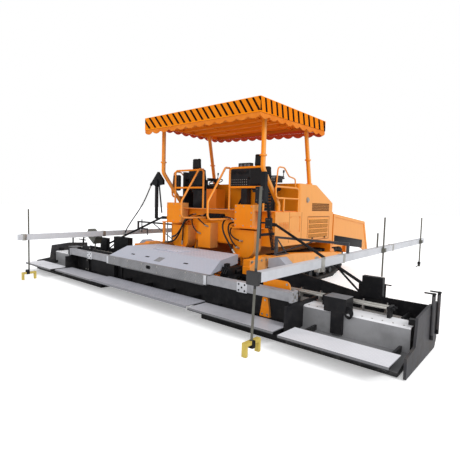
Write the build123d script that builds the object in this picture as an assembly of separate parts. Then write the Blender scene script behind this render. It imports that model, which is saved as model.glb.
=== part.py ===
from build123d import *

import math
import os

# Asphalt paver on crawler tracks, at full size, with a 9 m rear-mounted extending screed.
# Millimetres. +X is the machine's right, +Y its driving direction, +Z up. While the pieces are drawn,
# Y = 0 is the rear line of the screed on the ground; write_nodes() moves everything to the part's origin,
# which is the middle of the overall box on the ground.

os.makedirs("parts", exist_ok=True)

# ---------------------------------------------------------------- clearances
SEAT = 0.3            # between separate pieces that bear on each other
RUN = 8.0             # between pieces that move past each other
PIN_GAP = 0.05        # radial clearance of a pin in its eye
WELD = 5.0            # how far welded pieces reach into each other

# ---------------------------------------------------------------- tractor
BODY_HALF = 1500.0            # half the width of body, hood and platform
BODY_REAR = 1940.0
BODY_FLOOR = 1000.0
DECK_Z = 1690.0               # top of the body, where platform and hood stand
BULKHEAD = (4420.0, 4480.0)   # front wall of the body, rear wall of the hopper
BULKHEAD_FOOT = 790.0         # lower edge of the bulkhead beside the frame
SKIN = 60.0                   # body wall round the engine bay
BAY_Y = (2960.0, 4360.0)
HOOD_REAR = 2840.0
HOOD_TOP = 2290.0
HOOD_BREAK = 3560.0           # where the hood's top turns down
HOOD_NOSE = 1900.0            # height of the hood's front edge
HOOD_WALL = 40.0
HOOD_CORNER = 80.0
DECK_REAR = 1740.0
DECK_THICK = 15.0
DECK_TOP = DECK_Z + DECK_THICK
DOOR_Y = (3240.0, 4260.0)     # louvred side door
DOOR_Z = (1075.0, 1570.0)
DOOR_THICK = 30.0
DOOR_LIP = 40.0               # how far the body reaches in behind the door's edge
LOUVRE_BANDS = 4
LOUVRES_PER_BAND = 4
LOUVRE_EDGE = 50.0
GRILLE_Y, GRILLE_Z = (3400.0, 4240.0), (1712.0, 1885.0)
GRILLE_BARS = 4
GRILLE_BAR = (16.0, 36.0)     # bar height and pitch
FILLER = (3180.0, 1950.0, 42.0)   # y, z and radius of the filler cap on the hood's flank
PANEL_Y, PANEL_Z = (2490.0, 2900.0), (1270.0, 1600.0)   # plain access panel
VENT_Y, VENT_Z = (2080.0, 2430.0), (1330.0, 1480.0)     # vent with upright bars
VENT_BARS = 5
VENT_BAR = (26.0, 68.0)       # bar width and pitch
ENGINE = ((-560.0, 560.0), (3080.0, 4200.0), (BODY_FLOOR + SKIN, 1850.0))

# ---------------------------------------------------------------- material tunnel and frame
TUNNEL_HALF = 660.0           # inside half width of the tunnel
FRAME_PLATE = 60.0            # thickness of the frame's long side plates
FRAME_X = (TUNNEL_HALF, TUNNEL_HALF + FRAME_PLATE)
FRAME_REAR = BODY_REAR + 20
FRAME_LOW = 260.0
FLOOR_Z = (300.0, 330.0)      # conveyor floor plate
ROOF_Z = (970.0, 1000.0)
FLOOR_REAR = 1560.0
FRAME_FRONT = 6900.0
HOPPER_SIDE_Z = 800.0         # top of the side plates under the hopper
TIE_DOWN = (FRAME_FRONT - 90, 520.0, 32.0)   # y, z and radius of the lashing eye
CHAIN_X = (60.0, 580.0)       # inner edges of a conveyor's two chains
CHAIN = (40.0, 36.0)
SLAT_PITCH = 300.0
SLAT = (60.0, 22.0)

# ---------------------------------------------------------------- crawler tracks (wheel: y, z, radius of the band)
BAND = 46.0
PAD = 38.0
PAD_LENGTH = 128.0
PAD_PITCH = 170.0
TRACK_MID = 1100.0
TRACK_WIDTH = 360.0
SPROCKET = (2560.0, 383.0, 345.0)
TOE_WHEEL = (5060.0, 158.0, 120.0)
IDLER = (5390.0, 430.0, 285.0)
ROLLER_R = 88.0
ROLLERS = 6
CARRIER_Y = (3150.0, 4550.0)  # where the track frames are bolted to the machine's frame

# ---------------------------------------------------------------- hopper
WING_HINGE = (692.0, 835.0)   # x, z of the right wing's hinge pin
WING_PIN_R = 14.0
WING_Y = (4500.0, 6540.0)
WING_OUT = BODY_HALF
WING_WALL = 30.0
WING_RIM = (1650.0, 1420.0)   # height of the rim at the rear and at the front
RIM_BAND = 70.0               # width of the rim's stiffening band
RIM_PROUD = 14.0
LUG_Y = (4590.0, 5500.0, 6410.0)
ROLLER_BEAM = (6900.0, 6980.0)
PUSH_R = 95.0
PUSH_AXLE = (7105.0, 540.0, 25.0)
PUSH_HALF = 830.0

# ---------------------------------------------------------------- platform
BOX_LEFT = (-BODY_HALF + 140, -BODY_HALF + 630)
BOX_RIGHT = (BODY_HALF - 790, BODY_HALF - 340)
BOX_Y = (1660.0, 1890.0)
BOX_TOP = 1815.0
TRAY_Z = (1348.0, 1365.0)
CASE_X = (665.0, 1190.0)      # chain case beside the tunnel
CASE_Z = (760.0, 1310.0)
CASE_REAR = 1700.0
RAIL_R = 21.0
RAIL_TOP, RAIL_MID = 2550.0, 2160.0
RAIL_Y = 1765.0
SEAT_X = BODY_HALF - 580
DESK_X = (-250.0, 310.0)
DESK_Y = (2640.0, 2820.0)
DESK_Z = (2210.0, 2650.0)

# ---------------------------------------------------------------- canopy
ROOF_HALF = BODY_HALF + 110
ROOF_Y = (1190.0, 3650.0)
ROOF_TOP = 3700.0
ROOF_THICK = 75.0
FASCIA = 20.0
FASCIA_LOW = ROOF_TOP - 270           # lower edge of the fascia at the rear and rear right
FASCIA_FRONT_RIGHT = ROOF_TOP - 215   # it rises towards the front
FASCIA_LEFT = ROOF_TOP - 140          # and is shallow on the left
HEM_REAR = ROOF_TOP - 375             # lower edge of the cloth, in the same order
HEM_FRONT_RIGHT = ROOF_TOP - 340
HEM_LEFT = ROOF_TOP - 212
CLOTH = 8.0
RIB_Z = (ROOF_TOP - 130, ROOF_TOP - 70)
CROSS_RIBS = 4
POST_R = 45.0
POST_X = BODY_HALF - 80
REAR_POST = (1590.0, 2150.0)   # y of the rear posts above and below their crank
REAR_CRANK = (2500.0, 1835.0)  # heights of the crank's two bends
FRONT_POST = (3110.0, 3380.0)  # y of the leaning front posts at the roof and at the hood

# ---------------------------------------------------------------- screed
TOW_PIN = (4600.0, 580.0, 40.0)   # y, z and radius of the tow pin, where the screed hangs on the tractor
ARM_X = (BODY_HALF + 10, BODY_HALF + 150)
ARM_REAR = 960.0
ARM_Z = (610.0, 860.0)
CORE_HALF = BODY_HALF - 30    # centre screed
CORE_Y = (440.0, 840.0)
SOLE_Z = 12.0                 # sole plates float this far over the ground
SOLE_LIP = 40.0               # height of the sole's raised front edge
CORE_TOP = 450.0
EXT_HALF = 3000.0             # hydraulic working width, half
EXT_Y = (10.0, 400.0)
EXT_WALL = 90.0
EXT_TOP = 510.0
BEAM_Z = (520.0, 680.0)       # long rear guide beam
BEAM_Y = (120.0, 300.0)
BEAM_WALL = 12.0
SLIDE = 250.0                 # what the extensions can draw in with augers and tunnel walls built out
BOLT_ON_OUT = 4400.0
BOLT_ON_TOP = 450.0
GATE_X = (BOLT_ON_OUT + 60, BOLT_ON_OUT + 90)
GATE_Y = (5.0, 1380.0)
JACK_Y = (980.0, 1290.0)
WALK_Z = 237.0                # top of the grey extension walkways
WALK_THICK = 12.0
WALK_LIP = 40.0               # downturned rear edge of the plates
GREY_WALK_Y = (-250.0, 160.0)
WHITE_WALK_Y = (-310.0, 118.0)
HANGER_Z = (495.0, 575.0)     # web between an extension's wall and its guide beam
COVER_TOP = 855.0
COVER_Y = (190.0, 600.0, 1450.0)   # foot of the rear slope, crest, front edge
COVER_ENDS = (BODY_HALF - 50, BODY_HALF - 500, BODY_HALF - 200)   # half length at the rear; front right, front left
COVER_SHEET = 15.0

# ---------------------------------------------------------------- augers
AUGER_AXIS = (1080.0, 345.0)  # y, z
AUGER_R = 195.0
AUGER_SHAFT_R = 48.0
AUGER_X = (190.0, BOLT_ON_OUT - 270)
FLIGHT_PITCH = 330.0
FLIGHT_THICK = 16.0
FLIGHT_STEPS = 12             # straight facets to one turn
WALL_Y = (1400.0, 1430.0)     # front wall of the auger chamber
WALL_OUT = BOLT_ON_OUT - 20

# ---------------------------------------------------------------- averaging beams
SKI_X = EXT_HALF
SKI_LENGTH = 7430.0
SKI_REAR = {1: -700.0, -1: -1000.0}        # rear end of the right (1) and left (-1) beam
SKI_Z = (930.0, 1050.0)
SKI_HALF = 50.0
ROD_R = 16.0
OUTRIGGER = {1: (1885.0, 1230.0), -1: (2050.0, 1290.0)}   # y and height of each side's outrigger
# rods beside the beams: side, y, lower end, upper end, whether they stand on a knob
ROD_TABLE = ((-1, -762.0, 220.0, 1590.0, False),
             (1, 3450.0, 460.0, 1640.0, False),
             (-1, 3150.0, 460.0, 1640.0, False),
             (1, 6250.0, 360.0, 1600.0, True),
             (-1, 5950.0, 360.0, 1600.0, True))
END_ROD = (2985.0, 3050.0, 250.0, 2030.0)   # rod on the right beam's end: x below, x above, its two heights

# ---------------------------------------------------------------- hoses
HOSE_BEND = 0.45              # share of the shorter run that a bend may use
GLAND = (30.0, 30.0)          # radius and length of a hose's gland
HOSE_R = {"hose_left_long": 18.0, "hose_left_drop": 16.0, "hose_right_long": 18.0, "hose_right_loop": 14.0,
          "cable_left": 12.0}
# Routes of the free hoses, from gland face to gland face: x, y, z of each point.
HOSES = {
    "hose_left_long": [(-740, 1910, 1500), (-740, 1790, 1500), (-747, 1680, 1445), (-764, 1618, 1330),
                       (-800, 1590, 1200), (-868, 1580, 1075), (-972, 1588, 975), (-1105, 1610, 912),
                       (-1245, 1630, 890), (-1365, 1630, 890)],
    "hose_left_drop": [(-800, 1910, 1440), (-800, 1805, 1440), (-799, 1715, 1388), (-795, 1668, 1290),
                       (-790, 1655, 1180), (-792, 1655, 1070), (-800, 1650, 965), (-806, 1650, 870)],
    "hose_right_long": [(390, 1910, 1510), (390, 1792, 1510), (398, 1685, 1455), (425, 1625, 1350),
                        (478, 1602, 1240), (550, 1595, 1133), (628, 1598, 1033), (702, 1604, 935),
                        (765, 1614, 835)],
    "hose_right_loop": [(300, 1910, 1520), (300, 1820, 1520), (340, 1740, 1535), (415, 1695, 1550),
                        (505, 1690, 1552), (595, 1694, 1528), (680, 1697, 1490)],
    "cable_left": [(-1880, 1590, 2215), (-2000, 1585, 2010), (-2150, 1578, 1790), (-2330, 1568, 1585),
                   (-2530, 1552, 1385), (-2695, 1530, 1195), (-2800, 1505, 1040), (-2845, 1490, 915)],
}

REAR_END = min(SKI_REAR.values())
FRONT_END = PUSH_AXLE[0] + PUSH_R
MID_Y = (REAR_END + FRONT_END) / 2

NODES = {}


# ---------------------------------------------------------------- helpers
def slab(x, y, z):
    """Block between the two values of x, y and z."""
    middle = Pos((x[0] + x[1]) / 2, (y[0] + y[1]) / 2, (z[0] + z[1]) / 2)
    return middle * Box(abs(x[1] - x[0]), abs(y[1] - y[0]), abs(z[1] - z[0]))


def outline(points):
    return make_face(Polyline(*points, close=True))


def along_x(face, x):
    """Extrude a face drawn in (y, z) from x[0] to x[1]."""
    return extrude(Plane.YZ.offset(x[0]) * face, amount=x[1] - x[0])


def along_y(face, y):
    """Extrude a face drawn in (x, z) from y[0] to y[1]."""
    return extrude(Plane.XZ.offset(-y[0]) * face, amount=-(y[1] - y[0]))


def along_z(face, z):
    """Extrude a face drawn in (x, y) from z[0] to z[1]."""
    return extrude(Plane.XY.offset(z[0]) * face, amount=z[1] - z[0])


def rod(start, end, radius):
    """Round bar between two points."""
    start, end = Vector(*start), Vector(*end)
    span = end - start
    return extrude(Plane(origin=start, z_dir=span.normalized()) * Circle(radius), amount=span.length)


def pipe(points, radius, bends):
    """Round tube along straight runs joined by arcs of the radii in bends."""
    path = FilletPolyline(*points, radius=bends)
    start = Plane(origin=path @ 0, z_dir=path % 0)
    return sweep(start * Circle(radius), path=path)


def leaning(foot, top, z, radius):
    """Round post whose two ends are level: foot and top are (x, y), z the two heights."""
    ends = [Plane.XY.offset(level) * Pos(*place) * Circle(radius) for place, level in ((foot, z[0]), (top, z[1]))]
    return loft(ends)


def mirrored(shape):
    return shape.mirror(Plane.YZ)


def fused(pieces):
    """One body from pieces that overlap."""
    first, *rest = pieces
    return first.fuse(*rest) if rest else first


def node(name, *solids):
    """Keep solids that don't touch as one named node."""
    parts = []
    for shape in solids:
        parts.extend(shape.solids())
    NODES[name] = parts[0] if len(parts) == 1 else Compound(parts)


def both_sides(name, make):
    """Nodes NAME_right and NAME_left, the left one mirrored."""
    shape = make()
    node(name + "_right", shape)
    node(name + "_left", mirrored(shape))


# ---------------------------------------------------------------- running gear
def belt(inset):
    """Area inside the three wheels' common belt, moved in by inset."""
    wheels = (SPROCKET, TOE_WHEEL, IDLER)
    return make_hull([(Pos(y, z) * Circle(r - inset)).edge() for y, z, r in wheels])


def track():
    """Band with its shoes, as one fixed loop."""
    outer = belt(0)
    path = outer.wire()
    shoes = round(path.length / PAD_PITCH)
    section = outer
    for index in range(shoes):
        at = path @ (index / shoes)
        along = path % (index / shoes)
        turn = math.degrees(math.atan2(along.Y, along.X))
        section += Pos(at.X, at.Y) * Rot(0, 0, turn) * Rectangle(PAD_LENGTH, 2 * PAD)
    section -= belt(BAND)
    loop = along_x(section, (TRACK_MID - TRACK_WIDTH / 2, TRACK_MID + TRACK_WIDTH / 2))
    above_ground = slab((0, 2 * TRACK_MID), (SPROCKET[0] - 1000, IDLER[0] + 1000), (0, 2 * IDLER[1] + 500))
    return loop & above_ground


def track_frame():
    """Beam with sprocket, idler and bottom rollers inside the loop, carried by two stubs on the frame."""
    def wheel(place, width):
        y, z, r = place
        radius = r - BAND - SEAT
        return rod((TRACK_MID - width / 2, y, z), (TRACK_MID + width / 2, y, z), radius)

    low, high, half = 330, 500, 85
    rear, front = SPROCKET[0], IDLER[0]
    beam = along_x(outline([(rear, low), (rear + 300, low - 75), (TOE_WHEEL[0], low - 110), (front, low),
                            (front, high), (rear, high)]), (TRACK_MID - half, TRACK_MID + half))
    pieces = [beam, wheel(SPROCKET, 90), wheel(IDLER, 110), wheel(TOE_WHEEL, 240)]
    roller_z = SPROCKET[1] - SPROCKET[2] + BAND + SEAT + ROLLER_R
    first, last = rear + 330, TOE_WHEEL[0] - 330
    for index in range(ROLLERS):
        y = first + (last - first) * index / (ROLLERS - 1)
        pieces.append(rod((TRACK_MID - 120, y, roller_z), (TRACK_MID + 120, y, roller_z), ROLLER_R))
    for y in CARRIER_Y:
        pieces.append(slab((FRAME_X[1], TRACK_MID), (y - 110, y + 110), (high - 150, high - 20)))
    return fused(pieces)


# ---------------------------------------------------------------- frame and tunnel
def tow_bracket():
    """Bracket with the right tow pin, at the front of the body."""
    y, z, r = TOW_PIN
    cheek = outline([(BULKHEAD[0], z - 150), (y - 40, z - 180), (y + 100, z - 100), (y + 100, z + 100),
                     (y, BULKHEAD_FOOT - 5), (BULKHEAD[1], BULKHEAD_FOOT + WELD),
                     (BULKHEAD[0], BULKHEAD_FOOT + WELD)])
    plate = along_x(cheek, (BODY_HALF - 150, BODY_HALF - 10))
    return fused([plate, rod((BODY_HALF - 20, y, z), (ARM_X[1] + 12, y, z), r)])


def chassis():
    """Long side plates, conveyor floor, tunnel roof, bulkhead and the tow pins' brackets."""
    side = outline([(FRAME_REAR, FRAME_LOW), (FRAME_FRONT - 250, FRAME_LOW), (FRAME_FRONT, 400),
                    (FRAME_FRONT, 700), (FRAME_FRONT - 120, HOPPER_SIDE_Z), (BULKHEAD[1], HOPPER_SIDE_Z),
                    (BULKHEAD[1], BODY_FLOOR), (FRAME_REAR, BODY_FLOOR)])
    eye_y, eye_z, eye_r = TIE_DOWN
    eye = rod((FRAME_X[0] - 5, eye_y, eye_z), (FRAME_X[1] + 5, eye_y, eye_z), eye_r)
    half = [along_x(side, FRAME_X) - eye, tow_bracket()]
    half.append(slab((FRAME_X[1] - 10, BODY_HALF), BULKHEAD, (BULKHEAD_FOOT, BODY_FLOOR)))
    hinge_x, hinge_z = WING_HINGE
    for y in LUG_Y:
        half.append(slab((hinge_x - 20, hinge_x + 22), (y - 30, y + 30), (HOPPER_SIDE_Z - 20, hinge_z + 24)))
    half.append(rod((hinge_x, LUG_Y[0], hinge_z), (hinge_x, LUG_Y[-1], hinge_z), WING_PIN_R))
    right = fused(half)
    inner = (-TUNNEL_HALF - WELD, TUNNEL_HALF + WELD)
    middle = [slab(inner, (FRAME_REAR, BULKHEAD[1]), ROOF_Z),
              slab(inner, (FLOOR_REAR, FRAME_FRONT - 60), FLOOR_Z),
              slab(inner, (FRAME_FRONT - 60, FRAME_FRONT), (FLOOR_Z[0], 470)),
              slab((-BODY_HALF, BODY_HALF), BULKHEAD, (BODY_FLOOR - 20, DECK_Z))]
    return fused([right, mirrored(right)] + middle)


def body():
    """Body between platform and bulkhead, with the engine bay open at its top and two door openings."""
    block = slab((-BODY_HALF, BODY_HALF), (BODY_REAR, BULKHEAD[0] - SEAT), (BODY_FLOOR, DECK_Z))
    block = block - slab((-BODY_HALF + SKIN, BODY_HALF - SKIN), BAY_Y, (BODY_FLOOR + SKIN, DECK_Z + 1))
    for side in (1, -1):
        skin = (side * (BODY_HALF - DOOR_THICK - SEAT), side * (BODY_HALF + 1))
        block -= slab(skin, (DOOR_Y[0] - RUN, DOOR_Y[1] + RUN), (DOOR_Z[0] - RUN, DOOR_Z[1] + RUN))
        block -= slab((side * (BODY_HALF - 2 * SKIN), side * (BODY_HALF + 1)),
                      (DOOR_Y[0] + DOOR_LIP, DOOR_Y[1] - DOOR_LIP), (DOOR_Z[0] + DOOR_LIP, DOOR_Z[1] - DOOR_LIP))
        for y, z in ((PANEL_Y, PANEL_Z), (VENT_Y, VENT_Z)):
            block -= slab((side * (BODY_HALF - 8), side * (BODY_HALF + 1)), y, z)
        width, pitch = VENT_BAR
        for index in range(VENT_BARS):
            y = VENT_Y[0] + 40 + index * pitch
            block += slab((side * (BODY_HALF - 20), side * (BODY_HALF - 1)), (y, y + width), VENT_Z)
    return block


def hood_section(inset):
    """Side view of the hood in (y, z), moved in by inset."""
    slope = (HOOD_TOP - HOOD_NOSE) / (BULKHEAD[0] - HOOD_BREAK)
    drop = inset * (math.hypot(1, slope) - 1)
    front = BULKHEAD[0] - SEAT - inset
    return outline([(HOOD_REAR + inset, DECK_Z), (HOOD_REAR + inset, HOOD_TOP - inset),
                    (HOOD_BREAK - inset * slope / 2, HOOD_TOP - inset),
                    (front, HOOD_NOSE - inset - drop + inset * slope), (front, DECK_Z)])


def hood():
    """Engine hood: a hollow shell with a grille and a filler cap on each flank."""
    shell = along_x(hood_section(0), (-BODY_HALF, BODY_HALF))
    upright = [edge for edge in shell.edges().filter_by(Axis.Z) if edge.center().Y < HOOD_REAR + 1]
    shell = fillet(upright, HOOD_CORNER)
    shell -= along_x(hood_section(HOOD_WALL), (-BODY_HALF + HOOD_WALL, BODY_HALF - HOOD_WALL))
    height, pitch = GRILLE_BAR
    cap_y, cap_z, cap_r = FILLER
    for side in (1, -1):
        shell -= slab((side * (BODY_HALF - 22), side * (BODY_HALF + 1)), GRILLE_Y, GRILLE_Z)
        for index in range(GRILLE_BARS):
            z = GRILLE_Z[0] + 22 + index * pitch
            shell += slab((side * (BODY_HALF - 30), side * (BODY_HALF - 2)), GRILLE_Y, (z, z + height))
        shell += rod((side * (BODY_HALF - 10), cap_y, cap_z), (side * (BODY_HALF + 14), cap_y, cap_z), cap_r)
    return shell


def hood_door():
    """Louvred side door, hung at its top edge."""
    door = slab((BODY_HALF - DOOR_THICK, BODY_HALF), DOOR_Y, DOOR_Z)
    band = (DOOR_Z[1] - DOOR_Z[0] - 60) / LOUVRE_BANDS
    louvres = (DOOR_Y[0] + LOUVRE_EDGE, DOOR_Y[1] - LOUVRE_EDGE)
    for index in range(LOUVRE_BANDS):
        low = DOOR_Z[0] + 40 + index * band
        door -= slab((BODY_HALF - 14, BODY_HALF + 1), louvres, (low, low + band - 24))
        step = (band - 24) / LOUVRES_PER_BAND
        for fin in range(LOUVRES_PER_BAND):
            z = low + fin * step
            blade = outline([(BODY_HALF - 16, z + 4), (BODY_HALF - 1, z + 2), (BODY_HALF - 16, z + step * 0.75)])
            door += along_y(blade, (louvres[0] - 1, louvres[1] + 1))
    return door


def conveyor():
    """Slat conveyor of the right half: two chains joined by slats."""
    low = FLOOR_Z[1] + SEAT
    run = (FLOOR_REAR + 60, FRAME_FRONT - 120)
    width, height = CHAIN
    pieces = [slab((x, x + width), run, (low, low + height)) for x in CHAIN_X]
    count = int((run[1] - run[0]) // SLAT_PITCH)
    for index in range(count):
        y = run[0] + 60 + index * SLAT_PITCH
        pieces.append(slab((CHAIN_X[0] + 30, CHAIN_X[1] + 10), (y, y + SLAT[0]), (low, low + SLAT[1])))
    return fused(pieces)


# ---------------------------------------------------------------- hopper
def wing_hinge_eyes():
    """Arms with eyes that turn on the hinge pin between its lugs."""
    x, z = WING_HINGE
    eyes = []
    for low, high in zip(LUG_Y[:-1], LUG_Y[1:]):
        for y in (low + 38, high - 38 - 120):
            arm = slab((x - 4, x + 70), (y, y + 120), (z - 4, z + 22))
            knuckle = rod((x, y, z), (x, y + 120, z), WING_PIN_R + 14)
            bore = rod((x, y - 1, z), (x, y + 121, z), WING_PIN_R + PIN_GAP)
            eyes.append(fused([arm, knuckle]) - bore)
    return eyes


def hopper_wing():
    """Tipping side of the hopper: floor, rimmed outer wall and end walls."""
    x, z = WING_HINGE
    wall = (WING_OUT - WING_WALL, WING_OUT)
    band = (WING_OUT - 5, WING_OUT + RIM_PROUD)
    rear, front = WING_Y
    nose_y, nose_z = 6860, 600
    side = outline([(rear, z - 5), (rear, WING_RIM[0]), (front, WING_RIM[1]), (nose_y, nose_z),
                    (nose_y - 160, nose_z - 40), (6000, HOPPER_SIDE_Z)])
    floor = outline([(x + 44, z - 12), (WING_OUT, z + 40), (WING_OUT, z + 70), (x + 44, z + 18)])
    rear_wall = outline([(x + 50, z), (WING_OUT, z + 45), (WING_OUT, WING_RIM[0]), (WING_OUT - 200, WING_RIM[0]),
                         (x + 50, z + 120)])
    front_wall = outline([(x + 50, z), (WING_OUT, z + 45), (WING_OUT, WING_RIM[1] - 10),
                          (WING_OUT - 220, WING_RIM[1] - 120), (x + 50, z + 90)])
    slope = (WING_RIM[1] - WING_RIM[0]) / (front - rear)
    rim = outline([(rear, WING_RIM[0] - RIM_BAND), (rear, WING_RIM[0]), (front, WING_RIM[1]), (nose_y, nose_z),
                   (nose_y - 80, nose_z), (front - RIM_BAND, WING_RIM[1] - RIM_BAND)])
    post = outline([(rear, z + 60), (rear + RIM_BAND, z + 60),
                    (rear + RIM_BAND, WING_RIM[0] - 60 + RIM_BAND * slope), (rear, WING_RIM[0] - 60)])
    pieces = [along_x(side, wall), along_y(floor, (rear, front)), along_y(rear_wall, (rear, rear + WING_WALL)),
              along_y(front_wall, (front - WING_WALL, front)), along_x(rim, band), along_x(post, band)]
    return fused(pieces + wing_hinge_eyes())


def push_beam():
    """Cross beam at the front with three brackets and the push rollers' axle."""
    y, z, r = PUSH_AXLE
    pieces = [slab((-PUSH_HALF, PUSH_HALF), ROLLER_BEAM, (z - 110, z + 110))]
    for x in (-PUSH_HALF + 15, 0, PUSH_HALF - 15):
        plate = outline([(ROLLER_BEAM[1] - 10, z - 100), (y - 20, z - 75), (y + 60, z - 45), (y + 60, z + 45),
                         (y - 20, z + 75), (ROLLER_BEAM[1] - 10, z + 100)])
        pieces.append(along_x(plate, (x - 15, x + 15)))
    pieces.append(rod((-PUSH_HALF + 10, y, z), (PUSH_HALF - 10, y, z), r))
    return fused(pieces)


def push_roller():
    """Right push roller on the fixed axle."""
    y, z, r = PUSH_AXLE
    length = (25, PUSH_HALF - 40)
    drum = rod((length[0], y, z), (length[1], y, z), PUSH_R)
    return drum - rod((length[0] - 5, y, z), (length[1] + 5, y, z), r + PIN_GAP)


# ---------------------------------------------------------------- platform
def hose_column():
    """Column under the left tray that carries the long left hose's end, with its gland."""
    outer = -BODY_HALF + 70
    inner = outer + 35
    end_y, end_z = HOSES["hose_left_long"][-1][1:]
    column = slab((outer, inner), (end_y - 30, end_y + 30), (end_z - 30, TRAY_Z[0] + WELD))
    return fused([column, rod((inner - 1, end_y, end_z), (inner + GLAND[1], end_y, end_z), GLAND[0])])


def end_gland(points, length):
    """Gland in line with a hose's last run, starting at its end."""
    end, before = Vector(*points[-1]), Vector(*points[-2])
    aim = (end - before).normalized()
    return rod(tuple(end), tuple(end + aim * length), GLAND[0]), end + aim * length


def case_gland(points):
    """Gland of a hose on the rear of a chain case, with the block that carries it."""
    gland, foot = end_gland(points, 2 * GLAND[1])
    block = slab((foot.X - 50, foot.X + 50), (foot.Y - 35, CASE_REAR + WELD), (foot.Z - 25, foot.Z + 25))
    return [gland, block]


def rear_panels():
    """Centre cover, chain cases with round bottoms, the trays under the two boxes and the hoses' glands."""
    near = BODY_REAR - SEAT
    pieces = [slab((-350, 20), (CASE_REAR, near), (860, 1400))]
    for side in (1, -1):
        x = (side * CASE_X[0], side * CASE_X[1])
        case = along_y(outline([(x[0], CASE_Z[0]), (x[1], CASE_Z[0]), (x[1], CASE_Z[1]), (x[0], CASE_Z[1])]),
                       (CASE_REAR, near))
        corners = [edge for edge in case.edges().filter_by(Axis.Y) if edge.center().Z < CASE_Z[0] + 1]
        case = fillet(corners, 230)
        name = "hose_right_long" if side > 0 else "hose_left_drop"
        pieces.append(fused([case] + case_gland(HOSES[name])))
    left_tray = slab((-BODY_HALF, BOX_LEFT[1] - 80), (BOX_Y[0] - 30, near), TRAY_Z)
    pieces.append(fused([left_tray, hose_column()]))
    pieces.append(slab((BOX_RIGHT[0] - 70, BOX_RIGHT[1] + 90), (BOX_Y[0] - 30, near), TRAY_Z))
    for name in ("hose_left_long", "hose_left_drop", "hose_right_long", "hose_right_loop"):
        x, y, z = HOSES[name][0]
        pieces.append(rod((x, y, z), (x, near, z), GLAND[0]))
    return pieces


def rear_boxes():
    """Two boxes on the rear trays; the right one takes the looped hose."""
    left, right = [slab(x, BOX_Y, (TRAY_Z[1] + SEAT, BOX_TOP)) for x in (BOX_LEFT, BOX_RIGHT)]
    gland, _ = end_gland(HOSES["hose_right_loop"], GLAND[1] + 10)
    return [left, fused([right, gland])]


def deck():
    """Platform plate, notched behind for the two boxes and at the flanks for the side rails."""
    plate = slab((-BODY_HALF + 30, BODY_HALF - 30), (DECK_REAR, HOOD_REAR - SEAT), (DECK_Z, DECK_TOP))
    for low, high in (BOX_LEFT, BOX_RIGHT):
        plate -= slab((low - 12, high + 12), (DECK_REAR - 1, BOX_Y[1] + 12), (DECK_Z - 1, DECK_TOP + 1))
    return plate


def rear_rails():
    """Top and middle rails of the platform's rear edge, with the two rails beside the steps."""
    foot = DECK_TOP + SEAT
    pieces = []
    # side, x of the far end, height of its foot, x beside the steps
    for side, end, end_foot, step_x in ((1, BODY_HALF - 170, foot, 470.0),
                                        (-1, BODY_HALF - 310, BOX_TOP + SEAT, 280.0)):
        frame = pipe([(side * step_x, RAIL_Y, foot), (side * step_x, RAIL_Y, RAIL_TOP),
                      (side * end, RAIL_Y, RAIL_TOP), (side * end, RAIL_Y, end_foot)], RAIL_R, 70)
        stair = pipe([(side * step_x, RAIL_Y - 10, RAIL_TOP), (side * step_x, RAIL_Y - 140, RAIL_TOP),
                      (side * step_x, 1130, 1850), (side * step_x, 1130, 1505),
                      (side * step_x, BODY_REAR - 15, 1505)], RAIL_R, [60, 120, 90])
        rail = rod((side * step_x, RAIL_Y, RAIL_MID), (side * end, RAIL_Y, RAIL_MID), RAIL_R)
        pieces.append(fused([frame, stair, rail]))
    return pieces


def side_rails():
    """Guard frames on both flanks of the platform, with the raised arch beside the instruments."""
    x = BODY_HALF - 6
    foot = DECK_Z + SEAT
    frame = pipe([(x, 2790, foot), (x, 2790, 2180), (x, 1915, 2180), (x, 1950, 1960), (x, 2230, 1960)],
                 RAIL_R, [90, 60, 60])
    post = rod((x, 2230, foot), (x, 2230, 1960), RAIL_R)
    lower = rod((x, 2230, 1960), (x, 2790, 1960), RAIL_R - 4)
    arch = pipe([(x, 1945, 2180), (x, 1990, 2560), (x, 2210, 2560), (x, 2400, 2400), (x, 2640, 2370),
                 (x, 2660, 2180)], RAIL_R - 7, [80, 90, 90, 60])
    right = fused([frame, post, lower, arch])
    return [right, mirrored(right)]


def seat():
    """Driver's seat: cushion, back, headrest and armrests on a narrow pedestal."""
    x, foot = SEAT_X, DECK_TOP + SEAT
    cushion_z = (2120, 2260)
    pieces = [slab((x - 110, x + 110), (2240, 2540), (foot, cushion_z[0] + WELD)),
              slab((x - 260, x + 260), (2180, 2680), cushion_z),
              along_x(outline([(2180, cushion_z[0] + 60), (2300, cushion_z[0] + 60), (2240, 2620), (2140, 2620)]),
                      (x - 295, x + 295)),
              along_x(outline([(2145, 2610), (2235, 2610), (2225, 2870), (2140, 2870)]), (x - 140, x + 140))]
    for side in (1, -1):
        rest = (x + side * 290, x + side * 375)
        pieces.append(slab(rest, (2200, 2590), (2360, 2410)))
        pieces.append(slab((x + side * 255, x + side * 300), (2230, 2270), (cushion_z[1] - 60, 2380)))
    return fused(pieces)


def seat_base():
    """Closed stand under the left seat."""
    return slab((-SEAT_X - 130, -SEAT_X + 310), (2205, 2560), (DECK_TOP + SEAT, 2120 + WELD))


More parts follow.
